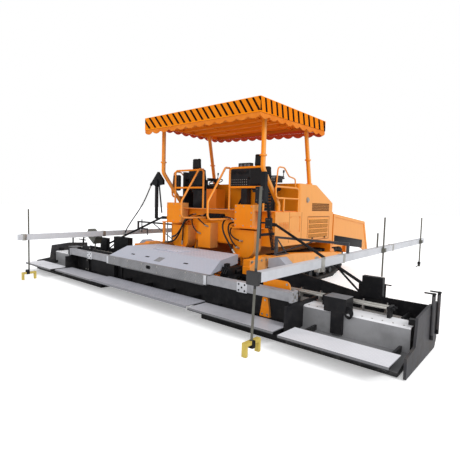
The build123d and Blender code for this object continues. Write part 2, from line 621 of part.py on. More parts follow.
def control_desk():
    """Control desk on its column and strut, side panel, instrument cluster and the box beside the left seat."""
    foot = DECK_TOP + SEAT
    low, high = DESK_Z
    near, far = DESK_Y
    console = along_x(outline([(near, low), (far, low), (far, low + 150), (far - 60, high), (near, high)]), DESK_X)
    column = slab((DESK_X[1] - 250, DESK_X[1] - 80), (near + 20, far - 10), (foot, low + WELD))
    strut = leaning((DESK_X[0] + 160, near + 60), (DESK_X[1] - 100, near + 60), (foot, low + WELD), 26)
    top_box = slab((DESK_X[1] - 340, DESK_X[1]), (near + 10, far - 50), (high - WELD, high + 110))
    panel = slab((-BODY_HALF + 135, -BODY_HALF + 200), (2160, 2600), (foot, 2560))
    cluster = fused([slab((BODY_HALF - 200, BODY_HALF - 145), (2060, 2130), (foot, 2280)),
                     slab((BODY_HALF - 200, BODY_HALF - 60), (2030, 2240), (2270, 2400))])
    chest = slab((-SEAT_X + 320, -SEAT_X + 630), (2200, 2500), (foot, 2150))
    return [fused([console, column, strut, top_box]), panel, cluster, chest]


def canopy_roof():
    """Flat roof with a fascia that is deep behind and shallow on the left, and ribs under it."""
    x, y = (-ROOF_HALF, ROOF_HALF), ROOF_Y
    under = ROOF_TOP - ROOF_THICK
    join = under + WELD
    pieces = [slab(x, y, (under, ROOF_TOP)),
              slab(x, (y[0], y[0] + FASCIA), (FASCIA_LOW, join)),
              along_x(outline([(y[0], FASCIA_LOW), (y[1], FASCIA_FRONT_RIGHT), (y[1], join), (y[0], join)]),
                      (x[1] - FASCIA, x[1])),
              slab((x[0], x[0] + FASCIA), y, (FASCIA_LEFT, join)),
              along_y(outline([(x[0], FASCIA_LEFT), (x[1], FASCIA_FRONT_RIGHT), (x[1], join), (x[0], join)]),
                      (y[1] - FASCIA, y[1]))]
    inner = (x[0] + FASCIA / 2, x[1] - FASCIA / 2)
    step = (FRONT_POST[0] - REAR_POST[0]) / CROSS_RIBS
    for index in range(CROSS_RIBS + 1):
        at = REAR_POST[0] + index * step
        pieces.append(slab(inner, (at - 30, at + 30), (RIB_Z[0], under + WELD)))
    for at in (-BODY_HALF / 2, BODY_HALF / 2):
        pieces.append(slab((at - 25, at + 25), (y[0] + FASCIA / 2, y[1] - FASCIA / 2), (RIB_Z[1] - 30, under + WELD)))
    return fused(pieces)


def canopy_valance():
    """Cloth band that hangs from the fascia's lower edge all round."""
    x, y = (-ROOF_HALF, ROOF_HALF), ROOF_Y
    rear, front = (HEM_REAR, FASCIA_LOW - SEAT), (HEM_FRONT_RIGHT, FASCIA_FRONT_RIGHT - SEAT)
    left = (HEM_LEFT, FASCIA_LEFT - SEAT)
    left_y = (y[0] + FASCIA + SEAT, y[1])
    return fused([
        slab(x, (y[0], y[0] + CLOTH), rear),
        along_x(outline([(y[0], rear[0]), (y[1], front[0]), (y[1], front[1]), (y[0], rear[1] - SEAT)]),
                (x[1] - CLOTH, x[1])),
        slab((x[0], x[0] + CLOTH), left_y, left),
        along_y(outline([(x[0], left[0]), (x[1], front[0]), (x[1], front[1] - 2 * SEAT), (x[0], left[1])]),
                (y[1] - CLOTH, y[1])),
    ])


def collar(x, y, z):
    """Bolted ring round a canopy post."""
    return rod((x, y, z - 14), (x, y, z + 14), POST_R + 22)


def canopy_posts():
    """Four posts with bolted collars: the rear pair cranked, the front pair leaning."""
    under = RIB_Z[0] - SEAT
    deck_foot, hood_foot = DECK_TOP + SEAT, HOOD_TOP + SEAT
    rear_top, rear_foot = REAR_POST
    front_top, front_foot = FRONT_POST
    posts = []
    for side in (1, -1):
        x = side * POST_X
        rear = pipe([(x, rear_top, under), (x, rear_top, REAR_CRANK[0]), (x, rear_foot, REAR_CRANK[1]),
                     (x, rear_foot, deck_foot)], POST_R, [160, 90])
        posts.append(fused([rear] + [collar(x, rear_top, z) for z in (2740, under - 60)]))
        front = leaning((x, front_foot), (x, front_top), (hood_foot, under), POST_R)
        slope = (front_top - front_foot) / (under - hood_foot)
        rings = [collar(x, front_foot + slope * (z - hood_foot), z) for z in (hood_foot + 15, 2820, under - 60)]
        posts.append(fused([front] + rings))
    return posts


def masts():
    """Hoist masts beside the rear corners, each on a bracket behind the body."""
    near = BODY_REAR - SEAT
    flank = BODY_HALF
    right = [slab((flank - 100, flank + 110), (1400, 1520), (1850, 2150)),
             slab((flank, flank + 100), (1420, 1500), (2145, 2420)),
             rod((flank, 1460, 1200), (flank, 1460, 1855), 16),
             slab((flank - 40, flank - 5), (1445, near), (1240, 1290)),
             slab((flank - 10, flank + 140), (1450, 1470), (1480, 1510)),
             slab((flank + 120, flank + 240), (1430, 1490), (1400, 1590))]
    head = along_y(outline([(-flank - 360, 2250), (-flank - 100, 2530), (-flank + 90, 2330), (-flank + 90, 2230),
                            (-flank - 200, 2200)]), (1560, 1620))
    hub = rod((-flank - 140, 1530, 2275), (-flank - 140, 1650, 2275), 75)
    bracket = [slab((-flank - 180, -flank + 100), (1575, 1605), (1420, 1450)),
               slab((-flank + 60, -flank + 100), (1575, near), (1420, 1450))]
    gland, _ = end_gland(HOSES["cable_left"][::-1], 2 * GLAND[1])
    left = [head, hub, gland, rod((-flank - 160, 1590, 1410), (-flank - 160, 1590, 2240), 22)] + bracket
    return [fused(right), fused(left)]


# ---------------------------------------------------------------- hoses

def hose_radii(points):
    """Radius of each bend: as large as its two runs allow."""
    radii = []
    for before, at, after in zip(points[:-2], points[1:-1], points[2:]):
        into, out = Vector(*at) - Vector(*before), Vector(*after) - Vector(*at)
        turn = math.radians(into.get_angle(out))
        radii.append(HOSE_BEND * min(into.length, out.length) / math.tan(turn / 2))
    return radii


def hoses():
    """Hydraulic hoses and the mast's cable, one node each."""
    for name, points in HOSES.items():
        radii = hose_radii(points)
        node(name, pipe(points, HOSE_R[name], radii))
        print(name, "radii", [round(radius) for radius in radii], "diameter", 2 * HOSE_R[name])


# ---------------------------------------------------------------- augers and their tunnel
def auger():
    """Right spreading auger: a shaft with a left-hand helical flight of straight facets."""
    y, z = AUGER_AXIS
    inner, outer = AUGER_SHAFT_R - 6, AUGER_R
    margin = 30
    length = AUGER_X[1] - AUGER_X[0] - 2 * margin
    steps = int(length / FLIGHT_PITCH * FLIGHT_STEPS)

    def section(step):
        """Four corners of the flight's radial section: inner rear, inner front, outer rear, outer front."""
        angle = 2 * math.pi * step / FLIGHT_STEPS
        x = AUGER_X[0] + margin + FLIGHT_PITCH * step / FLIGHT_STEPS
        c, s = math.cos(angle), math.sin(angle)
        return [Vector(x + offset, y + radius * c, z + radius * s)
                for radius in (inner, outer) for offset in (-FLIGHT_THICK / 2, FLIGHT_THICK / 2)]

    faces = []
    rows = [section(step) for step in range(steps + 1)]
    for near, far in zip(rows[:-1], rows[1:]):
        for a, b in ((0, 1), (1, 3), (3, 2), (2, 0)):
            faces.append(Face(Wire.make_polygon([near[a], near[b], far[b]])))
            faces.append(Face(Wire.make_polygon([near[a], far[b], far[a]])))
    for row in (rows[0], rows[-1]):
        faces.append(Face(Wire.make_polygon([row[0], row[1], row[3], row[2]])))
    flight = Solid(Shell(faces))
    shaft = rod((AUGER_X[0], y, z), (AUGER_X[1], y, z), AUGER_SHAFT_R)
    return fused([shaft, flight])


def auger_hanger():
    """Gearbox between the augers with its hanger from the frame."""
    y, z = AUGER_AXIS
    box = along_x(outline([(y - 110, z - 120), (y + 110, z - 120), (y + 130, z + 60), (y + 60, z + 200),
                           (y - 60, z + 200), (y - 120, z + 60)]), (-AUGER_X[0] + 40, AUGER_X[0] - 40))
    arm = slab((-60, 60), (y + 60, FLOOR_REAR - SEAT), (z - 60, FLOOR_Z[0]))
    shaft = rod((-AUGER_X[0] + SEAT, y, z), (AUGER_X[0] - SEAT, y, z), AUGER_SHAFT_R - 12)
    return fused([box, arm, shaft])


def auger_tunnel():
    """Front wall of the auger chamber with its tower, crank, step and braces to the body."""
    inner, low = FRAME_X[1] - 20, 130
    rear, front = WALL_Y
    wall = along_y(outline([(inner, low), (WALL_OUT, low), (WALL_OUT, 530), (3480, 530), (2360, 700), (1720, 700),
                            (1720, 560), (inner, 560)]), WALL_Y)
    webs = [slab((x - 12, x + 12), (front - 1, front + 60), (low + 10, 520)) for x in (1100, 2000, 2900, 3800)]
    flange = slab((inner, WALL_OUT), (front - 1, front + 80), (low, low + 20))
    tower = [slab((3460, 3760), (rear - 30, front + 40), (500, 810)), slab((3400, 3465), (rear, front), (500, 680))]
    crank = [rod((3785, rear + 20, 520), (3785, rear + 20, 725), 12),
             rod((3785, rear + 20, 715), (3870, rear + 20, 715), 9)]
    carrier = slab((FRAME_X[1], FRAME_X[1] + 80), (rear + 20, BODY_REAR + 40), (300, 420))
    root_y = (1740, BODY_REAR - SEAT)
    root_z = (1420, 1480)
    root = slab((BODY_HALF - 35, BODY_HALF - 1), root_y, root_z) + slab((BODY_HALF - 35, BODY_HALF + 140),
                                                                       (root_y[0], root_y[0] + 50), root_z)
    brace = rod((BODY_HALF + 120, root_y[0] + 25, 1460), (3520, front, 640), 24)
    short_brace = rod((2950, 1530, 886), (3410, front, 540), 16)
    bearing = slab((AUGER_X[1] + SEAT, AUGER_X[1] + 25), (AUGER_AXIS[0] - 60, rear + 5),
                   (AUGER_AXIS[1] - 50, AUGER_AXIS[1] + 50))
    step = along_y(outline([(1730, 695), (2090, 695), (2090, 800), (1960, 900), (1730, 860)]), (rear + 15, 1660))
    return fused([wall, flange, carrier, root, brace, short_brace, bearing, step] + tower + webs + crank)


def left_wall_box():
    """Valve box on the left auger wall, with the gland of the mast's cable on the tower."""
    box = slab((-3190, -2560), (WALL_Y[0] + 15, 1560), (500, 880))
    gland, _ = end_gland(HOSES["cable_left"], GLAND[1] + 10)
    return [box, gland]


# ---------------------------------------------------------------- screed, centre
def tow_arms():
    """Side arms from the tow pins to the centre screed, each with a deep plate at its rear."""
    y, z, r = TOW_PIN
    low, high = ARM_Z
    arm = along_x(outline([(ARM_REAR + 10, low), (1500, low), (4300, z - 80), (y - 100, z - 120), (y + 140, z - 120),
                           (y + 140, z + 120), (y - 100, z + 120), (4300, z + 160), (2450, high),
                           (ARM_REAR + 10, high)]), ARM_X)
    plate = along_x(outline([(ARM_REAR, low), (1290, low), (1340, low - 30), (1600, low - 30), (1600, high + 30),
                             (1310, high + 30), (ARM_REAR, 740)]), (ARM_X[0] - 6, ARM_X[1] + 14))
    eye = rod((ARM_X[0] - 1, y, z), (ARM_X[1] + 1, y, z), r + PIN_GAP)
    right = fused([arm & slab((0, 2 * BODY_HALF), (ARM_REAR, y + 200), (0, high + 1)), plate]) - eye
    return [right, mirrored(right)]


def screed_core():
    """Centre screed: sole and body, the tow arms' seats, the walkway's brackets and the cover's stands."""
    lip = SOLE_Z + SOLE_LIP
    rear, front = CORE_Y
    sole = along_x(outline([(rear, SOLE_Z), (front - 30, SOLE_Z), (front, lip), (front, CORE_TOP), (rear, CORE_TOP)]),
                   (-CORE_HALF, CORE_HALF))
    pieces = [sole]
    under = WALK_Z + 2 - SEAT
    bracket = outline([(GREY_WALK_Y[0] + 20, under - 40), (rear + WELD, 150), (rear + WELD, under),
                       (GREY_WALK_Y[0] + 20, under)])
    for x in (-1000, -330, 330, 1000):
        pieces.append(along_x(bracket, (x - 15, x + 15)))
    bearer = outline([(600, CORE_TOP - WELD), (front, CORE_TOP - WELD), (front, ARM_Z[0] - 45),
                      (1285, ARM_Z[0] - 45), (1285, ARM_Z[0] - SEAT), (600, ARM_Z[0] - SEAT)])
    for side in (1, -1):
        pieces.append(along_x(bearer, (side * (CORE_HALF - 170), side * CORE_HALF)))
        pieces.append(along_x(outline([(ARM_REAR, ARM_Z[0] - 45), (1285, ARM_Z[0] - 45), (1285, ARM_Z[0] - SEAT),
                                       (ARM_REAR, ARM_Z[0] - SEAT)]),
                              (side * (CORE_HALF - WELD), side * (ARM_X[1] - 10))))
        pieces.append(slab((side * 600, side * 650), (640, 800), (CORE_TOP - WELD, COVER_TOP - COVER_SHEET - SEAT)))
    return fused(pieces)


def screed_beam():
    """Hollow guide beam of the centre screed, which takes in the extensions' beams."""
    half = CORE_HALF - 40
    outer = slab((-half, half), BEAM_Y, BEAM_Z)
    inner = slab((-half - 1, half + 1), (BEAM_Y[0] + BEAM_WALL, BEAM_Y[1] - BEAM_WALL),
                 (BEAM_Z[0] + BEAM_WALL, BEAM_Z[1] - BEAM_WALL))
    shelf_half = CORE_HALF - SLIDE - 30
    shelf = slab((-shelf_half, shelf_half), (BEAM_Y[1] - WELD, 600), (CORE_TOP + SEAT, CORE_TOP + 40))
    rise = slab((-shelf_half, shelf_half), (BEAM_Y[1] - WELD, BEAM_Y[1] + 40), (CORE_TOP + 35, BEAM_Z[1]))
    return fused([outer - inner, rise, shelf])


def screed_cover():
    """Checker-plate cover over the centre: sloped behind, open below, its ends drawn in towards the front."""
    rear, crest, front = COVER_Y
    low = BEAM_Z[1] + SEAT

    def shell(inset):
        side = outline([(rear + 1.1 * inset, low - inset), (crest + 0.2 * inset, COVER_TOP - inset),
                        (front - inset, COVER_TOP - inset), (front - inset, low - inset)])
        plan = outline([(-COVER_ENDS[0] + inset, rear), (COVER_ENDS[0] - inset, rear),
                        (COVER_ENDS[1] - inset, front), (-COVER_ENDS[2] + inset, front)])
        return along_x(side, (-COVER_ENDS[0], COVER_ENDS[0])) & along_z(plan, (low - inset - 1, COVER_TOP + 1))

    return shell(0) - shell(COVER_SHEET)


def walkway(x, y, top):
    """Walkway plate with a downturned rear edge."""
    plate = slab(x, y, (top - WALK_THICK, top))
    lip = slab(x, (y[0], y[0] + WALK_THICK), (top - WALK_LIP, top))
    return fused([plate, lip])


# ---------------------------------------------------------------- screed, extensions
def ext_screed():
    """Right hydraulic extension: sole, wall, inner guide beam, walkway brackets and the end plate."""
    inner_x = CORE_HALF - 20
    rear, front = EXT_Y
    lip = SOLE_Z + SOLE_LIP
    sole = along_x(outline([(rear, SOLE_Z), (front - 30, SOLE_Z), (front, lip), (front, EXT_TOP),
                            (front - EXT_WALL, EXT_TOP), (front - EXT_WALL, 200), (rear, 120)]), (inner_x, EXT_HALF))
    gap = BEAM_WALL + RUN - 2
    pad = BEAM_WALL + SEAT
    beam_in = 700
    beam = slab((beam_in, EXT_HALF), (BEAM_Y[0] + gap, BEAM_Y[1] - gap), (BEAM_Z[0] + gap, BEAM_Z[1] - gap))
    slide_pad = slab((beam_in, beam_in + 120), (BEAM_Y[0] + pad, BEAM_Y[1] - pad), (BEAM_Z[0] + pad, BEAM_Z[1] - pad))
    end = slab((EXT_HALF - 40, EXT_HALF), (rear, 840), (lip, EXT_TOP - 10))
    end_top = slab((EXT_HALF - 40, EXT_HALF), BEAM_Y, (EXT_TOP - 20, BEAM_Z[1]))
    hanger = slab((CORE_HALF + SLIDE, EXT_HALF - 20), (BEAM_Y[1] - 40, front), HANGER_Z)
    under = WALK_Z - 10 - WALK_THICK - SEAT
    bracket = outline([(GREY_WALK_Y[0] + 20, under - 30), (rear + 2, 90), (front - EXT_WALL + WELD, 150),
                       (front - EXT_WALL + WELD, under), (GREY_WALK_Y[0] + 20, under)])
    brackets = [along_x(bracket, (x - 15, x + 15)) for x in (1600, 2300, 2900)]
    return fused([sole, beam, slide_pad, end, end_top, hanger] + brackets)


def ext_lever():
    """Stop bar on the extension's wall and the round-ended bracket plate above it."""
    wall = EXT_Y[1] - EXT_WALL
    bar = along_y(outline([(2385, 205), (2565, 205), (2520, 490), (2430, 490)]), (wall - 40, wall - SEAT))
    plate = slab((2400, 2850), (wall + 10, wall + 40), (HANGER_Z[1] + SEAT, 760))
    outer = [edge for edge in plate.edges().filter_by(Axis.Y) if edge.center().X > 2800]
    return [bar, fillet(outer, 85)]


def ext_walkway():
    """Grey and white walkway plates behind the right extension."""
    top = WALK_Z - 10
    return [walkway((CORE_HALF - 70, EXT_HALF - 40), GREY_WALK_Y, top),
            walkway((EXT_HALF + 70, BOLT_ON_OUT), WHITE_WALK_Y, top)]


def bolt_on_box():
    """Bolt-on extension box of the right side, with the brackets of its walkway."""
    x = (EXT_HALF + SEAT, BOLT_ON_OUT)
    rear, front, top = 450, CORE_Y[1], BOLT_ON_TOP
    lip = SOLE_Z + SOLE_LIP
    box = along_x(outline([(rear, SOLE_Z), (front - 30, SOLE_Z), (front, lip), (front, top - 50), (front - 80, top),
                           (rear + 20, top), (rear, top - 20)]), x)
    sole = along_x(outline([(EXT_Y[0], SOLE_Z), (rear + WELD, SOLE_Z), (rear + WELD, 150), (300, 120),
                            (EXT_Y[0], 60)]), x)
    under = WALK_Z - 10 - WALK_THICK - SEAT
    bracket = outline([(WHITE_WALK_Y[0] + 20, under - 30), (EXT_Y[0] + 2, 40), (rear + WELD, 130),
                       (rear + WELD, under), (WHITE_WALK_Y[0] + 20, under)])
    brackets = [along_x(bracket, (at - 15, at + 15)) for at in (EXT_HALF + 200, BOLT_ON_OUT - 100)]
    return fused([box, sole] + brackets)


def side_controls():
    """Control box, twin guide rods, the gate's stay and its screw jacks, on the right bolt-on."""
    top = BOLT_ON_TOP + SEAT
    box = fused([slab((3330, 3630), (400, 640), (top, 650)), slab((3430, 3590), (400, 450 - SEAT), (170, top + 10))])
    rod_y, rod_z = (700, 790), 565
    rods = [rod((2300, y, rod_z), (4140, y, rod_z), 18) for y in rod_y]
    feet = [slab((x - 20, x + 20), (rod_y[0] - 40, CORE_Y[1] - 80), (top, rod_z)) for x in (3200, 4080)]
    bridges = [slab((x - 20, x + 20), (rod_y[0] - 40, rod_y[1] + 40), (rod_z - 25, rod_z + 25)) for x in (3200, 4080)]
    stay = slab((BOLT_ON_OUT - 60, GATE_X[0] - SEAT), (560, 640), (top, 520))
    jacks = []
    jack_x = GATE_X[1] + SEAT + 20
    for y, high in zip(JACK_Y, (790, 760)):
        tube = rod((jack_x, y, 200), (jack_x, y, high), 20)
        jacks.append(fused([tube, rod((jack_x - 110, y, high - 10), (jack_x + 25, y, high - 10), 10)]))
    return [box, fused(rods + feet + bridges), stay] + jacks


def side_handle():
    """T-handled screw on the left bolt-on."""
    foot = BOLT_ON_TOP + SEAT
    x, y = -EXT_HALF - 270, 600
    return fused([rod((x, y, foot), (x, y, 840), 14), rod((x - 200, y, 832), (x + 140, y, 832), 12)])


def end_gate():
    """Side gate at the screed's end, standing upright along the travel direction."""
    rear, front = GATE_Y
    return along_x(outline([(rear, SOLE_Z), (rear, 240), (330, 280), (380, 600), (860, 640), (front, 610),
                            (front, 120), (front - 90, SOLE_Z)]), GATE_X)


# ---------------------------------------------------------------- averaging beams
def ski_frame(side):
    """Outrigger that stands on the tow arm and carries the averaging beam."""
    y, high = OUTRIGGER[side]
    top = ARM_Z[1] + SEAT
    middle = (ARM_X[0] + ARM_X[1]) / 2
    arm = (high - 40, high)
    pieces = [slab((middle - 50, middle + 50), (y - 45, y + 400), (top, top + 12)),
              slab((middle - 25, middle + 25), (y - 25, y + 25), (top, high)),
              slab((middle - 20, SKI_X + 20), (y - 20, y + 20), arm),
              slab((SKI_X - 20, SKI_X + 20), (y - 20, y + 20), (SKI_Z[1] + SEAT, high - 10)),
              rod((middle, y, high - 20), (middle, y + 360, top + 20), 14),
              rod((middle + 10, y, 900), (middle + 790, y, high - 30), 12)]
    if side < 0:
        pieces.append(slab((SKI_X - 410, SKI_X + 20), (y - 18, y + 18), (1072, 1108)))
        pieces.append(rod((SKI_X - 400, y, 930), (SKI_X - 400, y, 1100), 14))
        pieces.append(rod((SKI_X - 160, y, 990), (SKI_X - 160, y, 1340), 14))
    frame = fused(pieces)
    return frame if side > 0 else mirrored(frame)


def ski_beams():
    return [slab((side * (SKI_X - SKI_HALF), side * (SKI_X + SKI_HALF)), (rear, rear + SKI_LENGTH), SKI_Z)
            for side, rear in SKI_REAR.items()]


def ski_rods():
    """Sensor rods beside the beams in their clamps, the rod on the right beam's rear end and the left sensor."""
    x = SKI_X + SKI_HALF + 22
    rods = []
    for side, y, low, high, knob in ROD_TABLE:
        clamp = slab((SKI_X + SKI_HALF + SEAT, x + 45), (y - 45, y + 45), (SKI_Z[0] + 20, SKI_Z[1] - 20))
        pieces = [rod((x, y, low), (x, y, high), ROD_R), clamp]
        if knob:
            pieces.append(rod((x, y, low), (x, y, low + 30), 2 * ROD_R))
        beside = fused(pieces)
        rods.append(beside if side > 0 else mirrored(beside))
    end = SKI_REAR[1]
    post = leaning((END_ROD[0], end - 22), (END_ROD[1], end - 22), END_ROD[2:], ROD_R)
    rods.append(fused([post, slab((SKI_X - 100, SKI_X + 60), (end - 50, end - SEAT), (SKI_Z[0] - 30, SKI_Z[1] + 10))]))
    stub = rod((SKI_X, 3300, SKI_Z[1] + SEAT), (SKI_X, 3300, 1330), ROD_R)
    sensor_x, sensor_y, sensor_z = -SKI_X - 275, 910, 905
    sensor = fused([Pos(sensor_x, sensor_y, sensor_z) * Rot(0, 30, 0) * Box(400, 200, 190),
                    slab((-SKI_X - SKI_HALF - SEAT, sensor_x), (sensor_y - 40, sensor_y + 40), (950, 1030)),
                    rod((sensor_x + 40, sensor_y, 520), (sensor_x + 40, sensor_y, 860), ROD_R)])
    return rods + [stub, sensor]


def ski_feet():
    """Yellow shoe under each rear sensor rod: a bar with a lug at either end."""
    x = SKI_X + SKI_HALF + 22
    feet = []
    # x, y and height of the rod's lower end
    for at_x, y, high in ((END_ROD[0], SKI_REAR[1] - 22, END_ROD[2]), (-x, ROD_TABLE[0][1], ROD_TABLE[0][2])):
        top, low = high - SEAT, high - 165
        shoe = outline([(y - 145, low), (y - 145, top), (y + 145, top), (y + 145, low), (y + 105, low),
                        (y + 105, top - 42), (y - 105, top - 42), (y - 105, low)])
        feet.append(along_x(shoe, (at_x - 30, at_x + 30)))
    return feet


# ---------------------------------------------------------------- nodes
def build():
    both_sides("track", track)
    both_sides("track_frame", track_frame)
    node("chassis", chassis())
    node("body", body())
    node("hood", hood())
    both_sides("hood_door", hood_door)
    node("engine", slab(*ENGINE))
    lane = conveyor()
    node("conveyor", lane, mirrored(lane))
    both_sides("hopper_wing", hopper_wing)
    node("push_beam", push_beam())
    both_sides("push_roller", push_roller)
    node("deck", deck())
    node("rear_panels", *rear_panels())
    node("rear_boxes", *rear_boxes())
    node("rear_rails", *rear_rails())
    node("side_rails", *side_rails())
    right_seat = seat()
    node("seat_right", right_seat)
    node("seat_left", fused([mirrored(right_seat), seat_base()]))
    node("control_desk", *control_desk())
    node("canopy_roof", canopy_roof())
    node("canopy_valance", canopy_valance())
    node("canopy_posts", *canopy_posts())
    node("masts", *masts())
    both_sides("auger", auger)
    node("auger_hanger", auger_hanger())
    right_tunnel = auger_tunnel()
    node("auger_tunnel_right", right_tunnel)
    node("auger_tunnel_left", fused([mirrored(right_tunnel)] + left_wall_box()))
    node("tow_arms", *tow_arms())
    node("screed_core", screed_core())
    node("screed_beam", screed_beam())
    node("screed_cover", screed_cover())
    centre_y = (GREY_WALK_Y[0] - WALK_THICK - RUN, GREY_WALK_Y[1])
    node("centre_walkway", walkway((-CORE_HALF + 85, CORE_HALF - 85), centre_y, WALK_Z + 2 + WALK_THICK))
    both_sides("ext_screed", ext_screed)
    node("ext_lever_right", *ext_lever())
    node("ext_lever_left", *[mirrored(piece) for piece in ext_lever()])
    plates = ext_walkway()
    node("ext_walkway_right", *plates)
    node("ext_walkway_left", *[mirrored(plate) for plate in plates])
    both_sides("bolt_on_box", bolt_on_box)
    controls = side_controls()
    node("side_controls_right", *controls)
    node("side_controls_left", *[mirrored(piece) for piece in controls], side_handle())
    both_sides("end_gate", end_gate)
    node("ski_frames", ski_frame(1), ski_frame(-1))
    node("ski_beams", *ski_beams())
    node("ski_rods", *ski_rods())
    node("ski_feet", *ski_feet())
    hoses()


def write_nodes():
    """Move every node to the part's origin and write its file."""
    for name, shape in NODES.items():
        moved = Pos(0, -MID_Y, 0) * shape
        moved.label = name
        export_step(moved, f"parts/{name}.step")


build()
write_nodes()
print("nodes", len(NODES), "mid", round(MID_Y, 1))
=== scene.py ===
"""Looks of a crawler asphalt paver: finishes, canopy cloth, seats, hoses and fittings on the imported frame."""

import logging
import math
from dataclasses import dataclass, field
from enum import Enum
from functools import cached_property
from itertools import product
from typing import Callable, Iterable, Sequence, Union

import bmesh
import bpy
from mathutils import Matrix, Vector


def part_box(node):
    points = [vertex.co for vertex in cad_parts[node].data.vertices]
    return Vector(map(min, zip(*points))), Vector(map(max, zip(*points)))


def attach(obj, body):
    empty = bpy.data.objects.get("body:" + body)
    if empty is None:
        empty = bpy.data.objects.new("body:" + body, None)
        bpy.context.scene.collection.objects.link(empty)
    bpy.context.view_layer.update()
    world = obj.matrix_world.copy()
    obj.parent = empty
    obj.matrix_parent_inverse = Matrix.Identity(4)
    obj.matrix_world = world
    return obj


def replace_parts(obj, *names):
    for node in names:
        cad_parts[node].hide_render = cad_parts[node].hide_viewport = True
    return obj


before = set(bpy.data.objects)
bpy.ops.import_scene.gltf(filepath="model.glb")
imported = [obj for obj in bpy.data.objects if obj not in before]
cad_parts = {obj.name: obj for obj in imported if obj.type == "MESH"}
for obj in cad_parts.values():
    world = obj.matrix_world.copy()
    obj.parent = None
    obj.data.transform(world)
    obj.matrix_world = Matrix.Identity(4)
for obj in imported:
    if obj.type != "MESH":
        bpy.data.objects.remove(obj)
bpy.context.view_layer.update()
LOG = logging.getLogger("paver")
SCREED_LINE = -3.1            # Y of the screed's rear line in the part's frame, metres

Number = Union["Value", float]
Colour = tuple[float, float, float]
Point = Union[Vector, tuple[float, float, float]]
Socket = bpy.types.NodeSocket
RIGHT, LEFT, FORWARD, BACK, UP, DOWN = (1, 0, 0), (-1, 0, 0), (0, 1, 0), (0, -1, 0), (0, 0, 1), (0, 0, -1)


def spot(x: float, y: float, z: float) -> Vector:
    """Point in the part's frame from metres measured at the screed's rear line on the ground."""
    return Vector((x, y + SCREED_LINE, z))


def spaced(low: float, high: float, count: int) -> list[float]:
    """Evenly spaced numbers, both limits included."""
    return [low + step * (high - low) / (count - 1) for step in range(count)]


# ---------------------------------------------------------------- shader expressions
def operator(operation: str, swapped: bool = False) -> Callable[..., "Value"]:
    """Make a method of Value that adds a Math node.

    Args:
        operation: the node's operation.
        swapped: whether the other number comes first.

    Returns:
        The method.
    """
    def method(self: "Value", other: Number = 0.0) -> "Value":
        """The node's result."""
        return self.math(operation, *((other, self) if swapped else (self, other)))
    return method


class Value:
    """Number in a shader that takes part in Python expressions."""

    def __init__(self, shader: "Shader", socket: Socket) -> None:
        """Wrap an output socket of the shader's tree."""
        self.shader, self.socket = shader, socket

    def math(self, operation: str, first: Number, second: Number = 0.0, clamp: bool = False) -> "Value":
        """Add a Math node.

        Args:
            operation: the node's operation.
            first: its first input.
            second: its second input.
            clamp: whether the result stays from 0 to 1.

        Returns:
            The node's result.
        """
        settings = {"operation": operation, "use_clamp": clamp}
        node = self.shader.node("ShaderNodeMath", settings, {0: first, 1: second})
        return Value(self.shader, node.outputs[0])

    __add__, __radd__ = operator("ADD"), operator("ADD", swapped=True)
    __sub__, __rsub__ = operator("SUBTRACT"), operator("SUBTRACT", swapped=True)
    __mul__, __rmul__ = operator("MULTIPLY"), operator("MULTIPLY", swapped=True)
    __gt__, __lt__ = operator("GREATER_THAN"), operator("LESS_THAN")      # 1 where it holds
    __truediv__, __abs__ = operator("DIVIDE"), operator("ABSOLUTE")
    larger, wave = operator("MAXIMUM"), operator("SINE")

    def clamped(self) -> "Value":
        """Kept from 0 to 1."""
        return self.math("ADD", self, 0.0, clamp=True)

    def fraction(self) -> "Value":
        """Part after the decimal point, also below zero."""
        return self - self.math("FLOOR", self)

    def between(self, low: float, high: float) -> "Value":
        """1 between two limits."""
        return (self > low) * (self < high)

    def ramp(self, low: float, high: float) -> "Value":
        """Rise from 0 at low to 1 at high, smoothly.

        Args:
            low: where it starts.
            high: where it ends.

        Returns:
            The risen value.
        """
        node = self.shader.node("ShaderNodeMapRange", {"interpolation_type": "SMOOTHSTEP"},
                                {0: self, 1: low, 2: high, 3: 0.0, 4: 1.0})
        return Value(self.shader, node.outputs[0])


